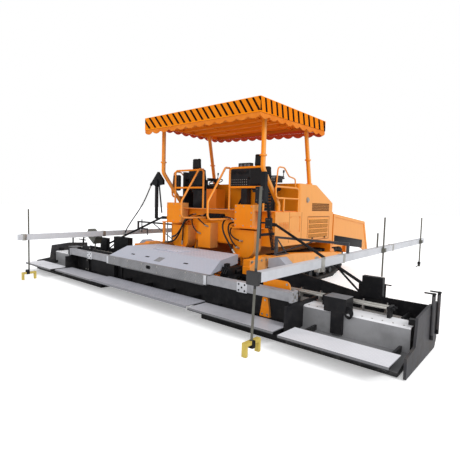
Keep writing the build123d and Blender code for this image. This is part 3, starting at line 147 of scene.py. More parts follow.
class Shader:
    """Material under construction: its tree, its principled surface and the piece's own coordinates."""

    def __init__(self, name: str) -> None:
        """Start a material with one principled surface.

        Args:
            name: the material's name.
        """
        self.material = bpy.data.materials.new(name)
        self.material.use_nodes = True
        self.tree = self.material.node_tree
        self.surface = self.tree.nodes["Principled BSDF"]

    def node(self, kind: str, settings: dict | None = None, inputs: dict | None = None) -> bpy.types.Node:
        """Add a node.

        Args:
            kind: the node's type.
            settings: its properties.
            inputs: numbers, colours or links of its sockets.

        Returns:
            The node.
        """
        made = self.tree.nodes.new(kind)
        for key, setting in (settings or {}).items():
            setattr(made, key, setting)
        for key, value in (inputs or {}).items():
            self.feed(made.inputs[key], value)
        return made

    def feed(self, socket: Socket, value: object) -> None:
        """Link a socket, or set its number or colour.

        Args:
            socket: what is fed.
            value: number, colour, socket or expression.
        """
        value = value.socket if isinstance(value, Value) else value
        if isinstance(value, Socket):
            self.tree.links.new(value, socket)
        elif isinstance(value, tuple) and len(value) == 3 and socket.type == "RGBA":
            socket.default_value = (*value, 1.0)
        else:
            socket.default_value = value

    def set(self, **sockets: object) -> None:
        """Feed sockets of the surface, named with underscores for spaces."""
        for name, value in sockets.items():
            self.feed(self.surface.inputs[name.replace("_", " ")], value)

    def coordinates(self, kind: str) -> tuple[Value, Value, Value]:
        """The three numbers of one of the piece's coordinates."""
        parts = self.node("ShaderNodeSeparateXYZ", None, {0: self.node("ShaderNodeTexCoord").outputs[kind]})
        return tuple(Value(self, output) for output in parts.outputs[:3])

    @cached_property
    def place(self) -> tuple[Value, Value, Value]:
        """Object coordinates: x, y and z in metres."""
        return self.coordinates("Object")

    @cached_property
    def facing(self) -> tuple[Value, Value, Value]:
        """The surface's direction in the object's own axes."""
        return self.coordinates("Normal")

    def noise(self, scale: float, detail: float = 3.0, stretch: Colour = (1.0, 1.0, 1.0)) -> Value:
        """Noise in object coordinates.

        Args:
            scale: size of the pattern; larger is finer.
            detail: how many finer layers it has.
            stretch: factor on each axis.

        Returns:
            The noise, from 0 to 1 about 0.5.
        """
        mapped = self.node("ShaderNodeMapping", None,
                           {0: self.node("ShaderNodeTexCoord").outputs["Object"], "Scale": stretch})
        made = self.node("ShaderNodeTexNoise", None,
                         {"Vector": mapped.outputs[0], "Scale": scale, "Detail": detail, "Roughness": 0.6})
        return Value(self, made.outputs[0])

    def mix(self, factor: Number, first: object, second: object) -> Socket:
        """Blend from the first colour at 0 to the second at 1."""
        return self.node("ShaderNodeMix", {"data_type": "RGBA"}, {0: factor, 6: first, 7: second}).outputs[2]

    def relief(self, height: Value, distance: float, strength: float) -> None:
        """Give the surface a relief from heights of 0 to 1, with the distance that 1 stands for in metres."""
        inputs = {"Height": height, "Distance": distance, "Strength": strength}
        self.set(Normal=self.node("ShaderNodeBump", None, inputs).outputs[0])


# ---------------------------------------------------------------- finishes
PAINT: Colour = (0.84, 0.228, 0.004)
PAINT_FADED: Colour = (0.88, 0.272, 0.010)
# painted highlight: paler orange for sideways faces, standing in for the key light
SIDE_HIGHLIGHT: Colour = (0.74, 0.365, 0.125)
# painted shade: red-brown for the roof's inner faces and the cloth's inside
INNER_SHADE: Colour = (0.56, 0.080, 0.024)
JET: Colour = (0.004, 0.004, 0.005)
SOOT: Colour = (0.012, 0.012, 0.014)
RUST: Colour = (0.16, 0.07, 0.035)


@dataclass(frozen=True)
class Finish:
    """Finish of a surface; the same finish makes its material only once."""

    name: str
    slot: str = field(default="orange_paint", kw_only=True)       # slot name of the finish; nothing in this script reads it

    def dress(self, s: Shader) -> None:
        """Fill in the surface; each finish has its own."""
        raise NotImplementedError

    def shade(self, s: Shader, colour: Socket) -> Socket:
        """Colour of the whole piece; kinds with zones change it."""
        return colour

    def material(self) -> bpy.types.Material:
        """The finish's material, made on first use.

        Returns:
            The material.
        """
        known = bpy.data.materials.get(self.name)
        if known is None:
            shader = Shader(self.name)
            self.dress(shader)
            known = shader.material
        return known


def weathered(s: Shader, colour: Socket, dirt: Colour, amount: float) -> tuple[Socket, Value]:
    """Dust that gathers low down and in faint downward streaks.

    Args:
        s: shader.
        colour: clean colour.
        dirt: colour of the dust.
        amount: how dense it is low down.

    Returns:
        The dusty colour and its mask.
    """
    low = 1.0 - s.place[2].ramp(0.05, 1.25)
    streaks = s.noise(5.0, 4.0, (3.0, 3.0, 0.5)).ramp(0.45, 0.75)
    blotches = s.noise(9.0, 5.0).ramp(0.42, 0.7)
    mask = ((low * blotches * amount) + streaks * (amount * 0.22)).clamped()
    return s.mix(mask, colour, dirt), mask


@dataclass(frozen=True)
class Enamel(Finish):
    """Sprayed enamel with faint colour drift, dust, small chips and, where set, a painted highlight on sideways
    faces.
    """

    colour: Colour
    faded: Colour
    roughness: float = 0.38
    dirt: Colour = (0.20, 0.13, 0.08)
    dust: float = 0.28                    # how dense the dust is low down
    chips: float = 0.16                   # how many chips it has
    gloss: float = 0.14                   # specular level
    side_highlight: Colour | None = None        # painted highlight: paler colour of the faces that look sideways

    def dress(self, s: Shader) -> None:
        """Paint, dust, chips, a painted highlight on sideways faces where set, and a fine orange-peel relief.

        Args:
            s: shader being filled in.
        """
        drift = s.noise(1.1, 4.0)
        colour = s.mix(drift.ramp(0.3, 0.72), self.colour, self.faded)
        # painted highlight: faces that look sideways are mixed toward a paler orange
        if self.side_highlight is not None:
            colour = s.mix(abs(s.facing[0]).ramp(0.45, 0.95) * 0.75, colour, self.side_highlight)
        dusty, mask = weathered(s, self.shade(s, colour), self.dirt, self.dust)
        chip = s.noise(60.0, 2.0).ramp(0.735 - 0.1 * self.chips, 0.75) * s.noise(4.0, 2.0).ramp(0.5, 0.6)
        s.set(Base_Color=s.mix(chip * self.chips * 4.0, dusty, (0.10, 0.07, 0.05)),
              Roughness=self.roughness + mask * 0.35 + (drift - 0.5) * 0.12 + chip * 0.2,
              Specular_IOR_Level=self.gloss)
        s.relief(s.noise(140.0, 1.0) - chip * 0.8, 0.0012, 0.35)


@dataclass(frozen=True)
class StripedRoof(Enamel):
    """Roof enamel with slanting black warning stripes over a plain hem, and painted shade inside: darker orange
    underneath, red-brown on the inner faces.
    """

    low: float = 3.452            # heights of the striped band
    high: float = 3.69
    half: float = 1.61            # half the roof's width
    ahead: float = 0.55           # Y of the front fascia
    length: float = 2.46          # from the front fascia to the rear one
    count: float = 19.0           # stripes behind
    side_count: float = 12.2      # stripes beside
    spread: float = 1.22          # how much wider they get
    stripe: float = 0.34          # a stripe's share of the pitch

    def shade(self, s: Shader, colour: Socket) -> Socket:
        """Enamel with the stripes of the four fascias, and painted shade inside the roof.

        Args:
            s: shader being filled in.
            colour: plain enamel.

        Returns:
            The striped colour, with painted shade inside.
        """
        x, y, z = s.place
        along_x, along_y, up = s.facing
        behind, beside = abs(along_y) > 0.7, abs(along_x) > 0.7
        drop = z - self.low
        across, along = (x + self.half) / (2.0 * self.half), (self.ahead - y) / self.length
        slant = across / (across + (1.0 - across) * self.spread) * self.count + drop * 4.6 + 0.30
        upright = along / (along + (1.0 - along) * self.spread) * self.side_count - drop * 1.15 + 0.12
        bars = behind * (slant.fraction() < self.stripe) + beside * (upright.fraction() < self.stripe)
        left = 1.0 - x.ramp(-1.61, -1.60)
        band = (z > (left * 0.13 + self.low)) * (z < self.high)
        outside = (abs(x) > 1.609).larger(y < -1.909).larger(y > 0.549)
        fascia = s.mix(band * outside * 0.35, colour, (0.60, 0.14, 0.006))
        striped = s.mix(bars * band * outside, fascia, (0.014, 0.005, 0.003))
        # painted shade: the underside is darker orange, its ribs nearer the paint, inner fascia faces red-brown
        ribs = (z < 3.64) * (z > 3.56) * (y < 0.5)
        shaded_inside = beside.larger(y > 0.5) * (z < 3.56)
        under = s.mix(shaded_inside, s.mix(ribs, (0.58, 0.150, 0.014), (0.80, 0.22, 0.012)), INNER_SHADE)
        return s.mix((up < -0.5).larger((1.0 - outside) * (z < 3.66)), striped, under)


@dataclass(frozen=True)
class TwoTone(Enamel):
    """Enamel with one box-shaped zone in a plate grey."""

    zone: tuple[float, ...] = (0.0,) * 6          # limits in X, Y and Z; Y from the screed's rear line
    second: Colour = (0.34, 0.34, 0.36)

    def shade(self, s: Shader, colour: Socket) -> Socket:
        """Enamel, with the second colour inside the zone on both sides of the machine.

        Args:
            s: shader being filled in.
            colour: plain enamel.

        Returns:
            The colour of both tones.
        """
        x, y, z = s.place
        low_x, high_x, low_y, high_y, low_z, high_z = self.zone
        inside = (abs(x).between(low_x, high_x) * y.between(low_y + SCREED_LINE, high_y + SCREED_LINE)
                  * z.between(low_z, high_z))
        return s.mix(inside, colour, self.second)


@dataclass(frozen=True)
class CheckerPlate(Finish):
    """Aluminium checker plate: short raised bars, alternately across and along, on level faces and walls."""

    colour: Colour
    worn: Colour
    pitch: float = 0.042              # from bar to bar, metres
    roughness: float = 0.42
    metallic: float = 0.08
    height: float = 0.0018            # of the bars, metres
    edge: Colour | None = None        # colour of the rims, where they have their own
    sloped: float = 1.0               # painted shade: how bright the slopes are beside the level faces

    def bars(self, s: Shader, u: Value, v: Value) -> Value:
        """Raised lozenges in the plane of u and v.

        Args:
            s: shader being filled in.
            u: first coordinate.
            v: second coordinate.

        Returns:
            1 on a bar, 0 between bars.
        """
        a, b = u / self.pitch, v / self.pitch
        turn, other = (a + b) * 0.5, (a - b) * 0.5
        first, second = abs(turn.fraction() - 0.5), abs(other.fraction() - 0.5)
        lozenge, crossed = 1.0 - (first * 2.6 + second * 7.5), 1.0 - (first * 7.5 + second * 2.6)
        odd = ((turn - turn.fraction() + other - other.fraction()) * 0.5).fraction() > 0.25
        return (odd * lozenge + (1.0 - odd) * crossed).ramp(0.0, 0.4)

    def dress(self, s: Shader) -> None:
        """Plate with brighter bar crests, grey scuffs and, where set, painted shade on the slopes.

        Args:
            s: shader being filled in.
        """
        x, y, z = s.place
        _, along_y, up = s.facing
        level, wall = abs(up) > 0.6, (abs(up) < 0.6) * (abs(along_y) > 0.5)
        bars = level * self.bars(s, x, y) + wall * self.bars(s, x, z)
        scuff, fine = s.noise(3.0, 6.0).ramp(0.4, 0.75), s.noise(40.0, 4.0)
        dusty = s.mix((fine.ramp(0.5, 0.8) * 0.30 + (1.0 - bars) * 0.34).clamped(),
                      s.mix(scuff, self.colour, self.worn), tuple(c * 0.55 for c in self.worn))
        bright = s.mix(bars * 0.35, dusty, tuple(min(1.0, c * 1.15) for c in self.colour))
        metal = self.metallic
        # painted shade: faces that are not level are darkened toward the worn colour
        if self.sloped < 1.0:
            bright = s.mix(up.ramp(0.90, 0.98), tuple(c * self.sloped for c in self.worn), bright)
        if self.edge is not None:
            rim = up < 0.5
            bright, metal = s.mix(rim, bright, self.edge), (1.0 - rim) * self.metallic
        roughness = self.roughness + scuff * 0.15 + (1.0 - bars) * 0.08
        s.set(Base_Color=bright, Roughness=roughness, Metallic=metal)
        s.relief(bars + fine * 0.08, self.height, 0.9)


@dataclass(frozen=True)
class WalkPlate(CheckerPlate):
    """Extension walkway: white plate outboard, grey plate inboard, black below."""

    def dress(self, s: Shader) -> None:
        """Two plates by their distance from the middle, with black hangers.

        Args:
            s: shader being filled in.
        """
        x, y, z = s.place
        up = s.facing[2]
        bars = (abs(up) > 0.6) * self.bars(s, x, y)
        scuff = s.noise(2.4, 6.0).ramp(0.42, 0.75)
        plate = s.mix(abs(x) > 3.035, s.mix(scuff, (0.50, 0.50, 0.54), (0.38, 0.38, 0.41)),
                      s.mix(scuff, self.colour, self.worn))
        worked = s.mix(((1.0 - bars) * 0.16).clamped(), plate, (0.30, 0.29, 0.31))
        below = (z < 0.195).larger(up < 0.3)
        rim = s.mix((up < 0.3) * (z > 0.198), SOOT, (0.16, 0.16, 0.17))
        s.set(Base_Color=s.mix(below, worked, rim), Roughness=self.roughness + scuff * 0.12,
              Metallic=(1.0 - below) * self.metallic, Specular_IOR_Level=0.3)
        s.relief(bars, self.height, 0.7)


@dataclass(frozen=True)
class BoxPlate(CheckerPlate):
    """Bolt-on box: near-white top, grey plate behind, black below and in front."""

    def dress(self, s: Shader) -> None:
        """Three zones by height and facing.

        Args:
            s: shader being filled in.
        """
        x, y, z = s.place
        _, along_y, up = s.facing
        bars = (z > 0.13) * (along_y < -0.5) * self.bars(s, x, z)
        scuff = s.noise(3.0, 6.0).ramp(0.4, 0.75)
        dust = s.noise(18.0, 5.0).ramp(0.45, 0.7)
        behind = (along_y < -0.5) * (z > 0.135) * (y > (0.44 + SCREED_LINE))
        ledge = (up > 0.3) * (z < 0.2) * (y < (0.47 + SCREED_LINE))
        black = s.mix(ledge, s.mix(dust * 0.5, JET, (0.08, 0.075, 0.07)), (0.17, 0.17, 0.175))
        light = s.mix(scuff * 0.4, (0.82, 0.82, 0.84), (0.66, 0.66, 0.68))
        walls = s.mix(behind, black, s.mix(scuff, self.colour, self.worn))
        s.set(Base_Color=s.mix((up > 0.6) * (z > 0.42), walls, light),
              Roughness=self.roughness + scuff * 0.15, Metallic=behind * 0.3)
        s.relief(bars * 0.5 + dust * 0.1, self.height, 0.6)


@dataclass(frozen=True)
class Alloy(Finish):
    """Dull extruded aluminium with fine lines along its length and light stains; a beam has a black clamp."""

    colour: Colour
    grain: Colour = (60.0, 1.0, 60.0)     # how fine the lines are along each axis
    metallic: float = 0.0
    roughness: float = 0.4

    def shade(self, s: Shader, colour: Socket) -> Socket:
        """Darken the clamp at the right averaging beam's rear end."""
        x, y, z = s.place
        return s.mix((x > 0.0) * (y < -3.76) * (z > 0.86) * (z < 1.10), colour, (0.03, 0.03, 0.032))

    def dress(self, s: Shader) -> None:
        """Drawn lines, stains and small dark scratches.

        Args:
            s: shader being filled in.
        """
        lines = s.noise(3.0, 3.0, self.grain)
        stain = s.noise(2.2, 5.0).ramp(0.45, 0.8)
        scratch = s.noise(24.0, 2.0, (1.0, 1.0, 5.0)).ramp(0.68, 0.74)
        dark = tuple(c * 0.62 for c in self.colour)
        s.set(Base_Color=self.shade(s, s.mix((stain * 0.5 + scratch * 0.5).clamped(), self.colour, dark)),
              Roughness=self.roughness + lines * 0.15 + stain * 0.1, Metallic=self.metallic)
        s.relief(lines - scratch * 0.5, 0.0006, 0.5)


@dataclass(frozen=True)
class BareSteel(Finish):
    """Worn or cast steel, polished where the mix rubs, with rust and dust."""

    colour: Colour
    roughness: float = 0.45
    metallic: float = 0.8
    rusty: float = 0.35

    def dress(self, s: Shader) -> None:
        """Rubbed metal, rust blooms and a pitted relief.

        Args:
            s: shader being filled in.
        """
        bloom = s.noise(7.0, 6.0).ramp(0.52, 0.74)
        dusty, mask = weathered(s, s.mix(bloom * self.rusty, self.colour, RUST), (0.13, 0.11, 0.10), 0.4)
        s.set(Base_Color=dusty, Roughness=self.roughness + bloom * 0.3 + mask * 0.15,
              Metallic=self.metallic - bloom * (0.6 * self.rusty))
        s.relief(s.noise(70.0, 3.0), 0.0018, 0.5)


@dataclass(frozen=True)
class Moulded(Finish):
    """Grained plastic or rubber with a dusty bloom."""

    colour: Colour
    roughness: float = 0.55
    grain: float = 180.0                      # how fine the grain is
    dusty: float = 0.15                       # share of dust
    gloss: float = 0.22                       # specular level
    haze: Colour = (0.10, 0.092, 0.085)       # colour of the dust
    felt: float = 0.55                        # strength of the grain's relief

    def dress(self, s: Shader) -> None:
        """Fine leathery grain and pale dust in its hollows.

        Args:
            s: shader being filled in.
        """
        grain = s.noise(self.grain, 2.0)
        bloom = s.noise(6.0, 4.0).ramp(0.45, 0.75)
        s.set(Base_Color=self.shade(s, s.mix(bloom * self.dusty, self.colour, self.haze)),
              Roughness=self.roughness + bloom * 0.12 - grain * 0.06, Specular_IOR_Level=self.gloss)
        s.relief(grain, 0.0009, self.felt)


@dataclass(frozen=True)
class DeskPlastic(Moulded):
    """Plastic of the control desk; the low chest beside the left seat is painted."""

    def shade(self, s: Shader, colour: Socket) -> Socket:
        """Enamel on the chest."""
        x, _, z = s.place
        return s.mix(x.between(-0.605, -0.285) * (z < 2.155), colour, (0.74, 0.17, 0.006))


@dataclass(frozen=True)
class Weave(Finish):
    """Coated cloth: plain weave along the piece's own map, faded in soft patches, with painted shade in
    red-brown on its inner face.
    """

    colour: Colour
    faded: Colour
    thread: float = 0.006         # pitch of the threads, metres
    centre: float = -0.68         # Y of the roof's middle in the part's frame

    def dress(self, s: Shader) -> None:
        """Threads both ways, soft folds and fading.

        Args:
            s: shader being filled in.
        """
        u, v, _ = s.coordinates("UV")
        warp, weft = (u * (math.tau / self.thread)).wave(), (v * (math.tau / self.thread)).wave()
        fade = s.noise(2.4, 4.0).ramp(0.35, 0.75)
        x, y, _ = s.place
        across, along, _ = s.facing
        # painted shade: faces that look in towards the roof's middle are red-brown
        shaded_inside = (x * across + (y - self.centre) * along) < 0.0
        cloth = s.mix(shaded_inside, s.mix(fade, self.colour, self.faded), INNER_SHADE)
        s.set(Base_Color=s.mix((abs(warp * weft) * 0.12).clamped(), cloth, (0.40, 0.10, 0.010)),
              Roughness=0.68 + fade * 0.12, Sheen_Weight=0.04, Specular_IOR_Level=0.1)
        s.relief(warp * weft * 0.5 + 0.5, 0.0003, 0.2)


@dataclass(frozen=True)
class Lens(Finish):
    """Glass or clear plastic over a coloured ground."""

    colour: Colour

    def dress(self, s: Shader) -> None:
        """Ribbed, glossy surface.

        Args:
            s: shader being filled in.
        """
        x, _, z = s.place
        haze = s.noise(20.0, 3.0)
        s.set(Base_Color=s.mix(haze * 0.3, self.colour, (0.6, 0.6, 0.6)), Roughness=0.08 + haze * 0.1,
              Coat_Weight=0.8)
        s.relief(((x + z) * 500.0).wave() * 0.5 + 0.5, 0.0008, 0.4)


@dataclass(frozen=True)
class Ground(Finish):
    """Pale floor that glows a little in the camera's own view, which lifts its shadows there."""

    def dress(self, s: Shader) -> None:
        """Matt white with a faint glow.

        Args:
            s: shader being filled in.
        """
        seen = s.node("ShaderNodeLightPath").outputs["Is Camera Ray"]
        s.set(Base_Color=(0.92, 0.92, 0.92), Roughness=0.9, Emission_Strength=0.3,
              Emission_Color=s.mix(seen, (0.0, 0.0, 0.0), (1.0, 1.0, 1.0)))


MATT = {"roughness": 0.48, "dirt": (0.05, 0.045, 0.042), "dust": 0.3, "gloss": 0.16}


class Coat(Enum):
    """Finishes of the machine, by what they cover."""

    # the orange enamel carries a painted highlight on its sideways faces
    ORANGE = Enamel("orange_enamel", PAINT, PAINT_FADED, side_highlight=SIDE_HIGHLIGHT)
    ROOF = StripedRoof("canopy_enamel", PAINT, PAINT_FADED, dust=0.05, roughness=0.6, gloss=0.02)
    # painted highlight: the louvre slats are a paler orange than the door they stand on
    RIDGE_HIGHLIGHT = Enamel("door_ridges", (0.93, 0.40, 0.09), (0.95, 0.46, 0.13), roughness=0.45)
    # painted shade: dark brown for the louvre gaps and the side intake's grille
    LATTICE = Enamel("grille_lattice", (0.13, 0.06, 0.025), (0.19, 0.085, 0.03), roughness=0.6)
    SEAM = Enamel("seam_shade", (0.20, 0.075, 0.02), (0.26, 0.10, 0.03))
    BLACK = Enamel("black_enamel", JET, SOOT, slot="black_paint", **MATT)
    YELLOW = Enamel("yellow_enamel", (0.52, 0.39, 0.08), (0.62, 0.49, 0.14), roughness=0.45)
    CHARCOAL = Enamel("charcoal_enamel", (0.030, 0.033, 0.038), (0.055, 0.06, 0.066), roughness=0.45,
                      dust=0.3, dirt=(0.10, 0.09, 0.085), gloss=0.2)
    SCREED_BLACK = TwoTone("screed_enamel", JET, SOOT, zone=(1.4, 3.01, 0.0, 0.285, 0.53, 0.69),
                           second=(0.32, 0.32, 0.34), **MATT)
    WALL_BLACK = TwoTone("auger_wall_enamel", JET, SOOT, zone=(1.725, 2.095, 1.41, 1.67, 0.69, 0.92),
                         second=(0.38, 0.38, 0.42), **MATT)
    CONTROLS = TwoTone("control_box_enamel", JET, SOOT, zone=(3.32, 3.64, 0.39, 0.66, 0.646, 0.66),
                       second=(0.16, 0.16, 0.17), **MATT)
    FRAME = Enamel("bracket_enamel", (0.045, 0.045, 0.050), (0.08, 0.08, 0.085), roughness=0.5,
                   dirt=(0.12, 0.11, 0.10), gloss=0.2, slot="black_paint")
    GATE = Enamel("end_gate_enamel", (0.026, 0.026, 0.030), (0.055, 0.054, 0.060), roughness=0.5,
                  dirt=(0.10, 0.09, 0.08), dust=0.5, gloss=0.2)
    DECK = CheckerPlate("deck_plate", (0.30, 0.30, 0.32), (0.22, 0.22, 0.23), edge=(0.84, 0.22, 0.008))
    # painted shade on the cover's slopes
    COVER = CheckerPlate("cover_plate", (0.62, 0.64, 0.74), (0.52, 0.54, 0.62), sloped=0.78,
                         slot="checker_plate")
    WALKWAY = CheckerPlate("walkway_plate", (0.46, 0.46, 0.51), (0.35, 0.35, 0.39), pitch=0.036,
                           edge=(0.19, 0.19, 0.21))
    BEAM = CheckerPlate("guide_beam_plate", (0.27, 0.27, 0.28), (0.20, 0.20, 0.21), pitch=0.03, height=0.0010,
                        slot="beam_alloy")
    WHITE_PLATE = WalkPlate("white_plate", (0.84, 0.84, 0.88), (0.74, 0.74, 0.78), pitch=0.03, metallic=0.1,
                            height=0.0008)
    BOX_PLATE = BoxPlate("bolt_on_plate", (0.30, 0.30, 0.31), (0.22, 0.22, 0.225), pitch=0.03, height=0.0008)
    ALLOY = Alloy("ski_alloy", (0.54, 0.55, 0.58), slot="beam_alloy")
    ROD = Alloy("rod_steel", (0.11, 0.108, 0.09), grain=(40.0, 40.0, 1.0), metallic=0.2)
    STEEL = BareSteel("bare_steel", (0.28, 0.27, 0.26))
    ZINC = BareSteel("zinc_fasteners", (0.42, 0.41, 0.38), rusty=0.15, roughness=0.35, slot="worn_steel")
    DARK_STEEL = BareSteel("dark_casting", (0.06, 0.06, 0.065), metallic=0.45, roughness=0.55,
                           slot="black_paint")
    SHOES = Moulded("track_shoe_rubber", (0.035, 0.034, 0.034), 0.75, 90.0, 0.5)
    DESK = DeskPlastic("desk_plastic", (0.010, 0.010, 0.012), 0.45, gloss=0.25, haze=(0.10, 0.095, 0.09),
                       felt=0.4)
    PANEL = Moulded("panel_plastic", (0.010, 0.010, 0.012), 0.45, slot="dark_panel")
    RUBBER = Moulded("hose_sheath", (0.006, 0.006, 0.007), 0.42, 240.0, 0.08, slot="hose_rubber")
    VINYL = Moulded("seat_vinyl", (0.007, 0.007, 0.008), 0.48, 130.0, 0.06, slot="seat_cover")
    CLOTH = Weave("canopy_weave", (0.66, 0.165, 0.008), (0.76, 0.23, 0.025), slot="valance_cloth")
    DIAL = Lens("dial_glass", (0.03, 0.035, 0.04), slot="dark_panel")


# ---------------------------------------------------------------- meshes
class Body(Enum):
    """Moving bodies that pieces ride on."""

    TRACTOR = "tractor"
    SCREED = "screed"
    EXT_RIGHT = "extension_right"
    EXT_LEFT = "extension_left"
    WING_RIGHT = "wing_right"
    WING_LEFT = "wing_left"
    DOOR_RIGHT = "door_right"
    DOOR_LEFT = "door_left"


SIDES = ("right", "left")
FIXED = (Body.TRACTOR, Body.TRACTOR)
DOORS = (Body.DOOR_RIGHT, Body.DOOR_LEFT)
WINGS = (Body.WING_RIGHT, Body.WING_LEFT)
EXTENSIONS = (Body.EXT_RIGHT, Body.EXT_LEFT)


class Shape:
    """Mesh under construction from bmesh operators, in metres from the screed's rear line on the ground."""

    def __init__(self, line: float = SCREED_LINE) -> None:
        """Start empty, with the Y in the part's frame at which the mesh's own zero ends up."""
        self.mesh, self.line = bmesh.new(), line

    def _rounded(self, verts: Iterable[bmesh.types.BMVert], width: float, sharp: float = 0.5) -> "Shape":
        """Bevel the edges between faces that meet at more than an angle.

        Args:
            verts: vertices of the part to round.
            width: bevel width, metres.
            sharp: angle in radians.

        Returns:
            This shape.
        """
        if width > 0.0:
            edges = {edge for vertex in verts for edge in vertex.link_edges
                     if len(edge.link_faces) == 2 and edge.calc_face_angle() > sharp}
            bmesh.ops.bevel(self.mesh, geom=list(edges), offset=width, offset_type="OFFSET", affect="EDGES",
                            segments=2, profile=0.5, material=-1, clamp_overlap=True)
        return self

    def box(self, low: Point, high: Point, round_by: float = 0.0, turn: Matrix = Matrix()) -> "Shape":
        """Add a box between its lowest and highest corner, turned about its middle.

        Args:
            low: lowest corner.
            high: highest corner.
            round_by: bevel of its edges.
            turn: rotation about its middle.

        Returns:
            This shape.
        """
        low, high = Vector(low), Vector(high)
        place = Matrix.Translation((low + high) / 2) @ turn @ Matrix.Diagonal((*(high - low), 1.0))
        return self._rounded(bmesh.ops.create_cube(self.mesh, size=1.0, matrix=place)["verts"], round_by)

    def rod(self, start: Point, end: Point, radius: float, far_radius: float | None = None, sides: int = 20,
            round_by: float = 0.0) -> "Shape":
        """Add a round bar or cone.

        Args:
            start: middle of its first end.
            end: middle of its other end.
            radius: radius at the start.
            far_radius: radius at the other end, the same if left out.
            sides: number of sides.
            round_by: bevel of its rims.

        Returns:
            This shape.
        """
        start, end = Vector(start), Vector(end)
        axis = end - start
        place = Matrix.Translation((start + end) / 2) @ axis.to_track_quat("Z", "Y").to_matrix().to_4x4()
        made = bmesh.ops.create_cone(self.mesh, cap_ends=True, cap_tris=False, segments=sides, radius1=radius,
                                     radius2=far_radius or radius, depth=axis.length, matrix=place)
        return self._rounded(made["verts"], round_by, 0.9)

    def bolts(self, direction: Point, radius: float, points: Iterable[Point]) -> "Shape":
        """Add hexagon bolt heads on washers.

        Args:
            direction: outwards.
            radius: half a head's width across corners.
            points: where they meet the surface.

        Returns:
            This shape.
        """
        out = Vector(direction)
        for centre in map(Vector, points):
            seat, head = centre + out * radius * 0.2, centre + out * radius * 0.85
            self.rod(centre - out * 0.002, centre + out * radius * 0.22, radius * 1.4, sides=14)
            self.rod(seat, head, radius, radius * 0.93, sides=6)
        return self

    def _wire(self, centre: Vector, axis: Vector, radius: float, tube: float, sides: int,
              closed: bool) -> list[bmesh.types.BMVert]:
        """Vertices of a wire's cross-section, ready to be turned about an axis.

        Args:
            centre: point on the axis.
            axis: direction that it will turn about.
            radius: from the axis to the wire's middle.
            tube: radius of the wire.
            sides: sides of the wire.
            closed: whether it is filled.

        Returns:
            Its vertices.
        """
        outward = axis.orthogonal().normalized()
        axes = Matrix((outward, axis, outward.cross(axis))).transposed().to_4x4()
        return bmesh.ops.create_circle(self.mesh, cap_ends=closed, segments=sides, radius=tube,
                                       matrix=Matrix.Translation(centre + outward * radius) @ axes)["verts"]

    def ring(self, centre: Point, axis: Point, radius: float, tube: float, sides: int = 36) -> "Shape":
        """Add a round ring of a tube by turning a circle about an axis.

        Args:
            centre: middle of the ring.
            axis: direction it is turned about.
            radius: radius to the tube's middle.
            tube: radius of the tube.
            sides: steps round the ring.

        Returns:
            This shape.
        """
        centre, axis = Vector(centre), Vector(axis).normalized()
        edges = {e for v in self._wire(centre, axis, radius, tube, 10, False) for e in v.link_edges}
        bmesh.ops.spin(self.mesh, geom=list(edges), cent=centre, axis=axis, angle=math.tau, steps=sides,
                       use_merge=True, use_duplicate=False)
        return self

    def spring(self, start: Point, end: Point, radius: float, tube: float, turns: int) -> "Shape":
        """Add a coil spring by turning a disc about an axis while it advances.

        Args:
            start: middle of its first turn.
            end: middle of its last turn.
            radius: radius of the coil.
            tube: radius of the wire.
            turns: number of turns.

        Returns:
            This shape.
        """
        start, run = Vector(start), Vector(end) - Vector(start)
        axis, steps = run.normalized(), turns * 14
        faces = {f for v in self._wire(start, axis, radius, tube, 8, True) for f in v.link_faces}
        bmesh.ops.spin(self.mesh, geom=list(faces), cent=start, axis=axis, dvec=run / steps,
                       angle=math.tau * turns, steps=steps, use_merge=False, use_duplicate=False)
        return self

    def plate(self, corners: Sequence[Point], thickness: Point, round_by: float = 0.0) -> "Shape":
        """Add a flat plate from its outline and the way from the outline's face to its back.

        Args:
            corners: outline, in order.
            thickness: way from the outline's face to its back.
            round_by: bevel of its edges.

        Returns:
            This shape.
        """
        face = self.mesh.faces.new([self.mesh.verts.new(c) for c in corners])
        grown = bmesh.ops.extrude_face_region(self.mesh, geom=[face], use_keep_orig=True)["geom"]
        moved = [g for g in grown if isinstance(g, bmesh.types.BMVert)]
        bmesh.ops.translate(self.mesh, verts=moved, vec=thickness)
        return self._rounded(moved + list(face.verts), round_by)

    def flipped(self) -> "Shape":
        """Move the shape to the machine's other side."""
        bmesh.ops.scale(self.mesh, vec=(-1.0, 1.0, 1.0), verts=list(self.mesh.verts))
        return self

    def object(self, name: str, finish: Finish, recalculate: bool = True) -> bpy.types.Object:
        """Make the mesh an object at the origin, with its material and smooth shading between sharp edges.

        Args:
            name: the object's name.
            finish: its finish.
            recalculate: whether its faces are turned outwards.

        Returns:
            The object.
        """
        bmesh.ops.translate(self.mesh, verts=list(self.mesh.verts), vec=(0.0, self.line, 0.0))
        if recalculate:
            bmesh.ops.recalc_face_normals(self.mesh, faces=list(self.mesh.faces))
        data = bpy.data.meshes.new(name)
        self.mesh.to_mesh(data)
        self.mesh.free()
        data.materials.append(finish.material())
        data.shade_smooth()
        data.set_sharp_from_angle(angle=math.radians(35.0))
        return linked(name, data)


def linked(name: str, data: bpy.types.ID) -> bpy.types.Object:
    """Put data into the scene as an object.

    Args:
        name: the object's name.
        data: mesh, curve, light or camera.

    Returns:
        The object.
    """
    made = bpy.data.objects.new(name, data)
    bpy.context.scene.collection.objects.link(made)
    return made


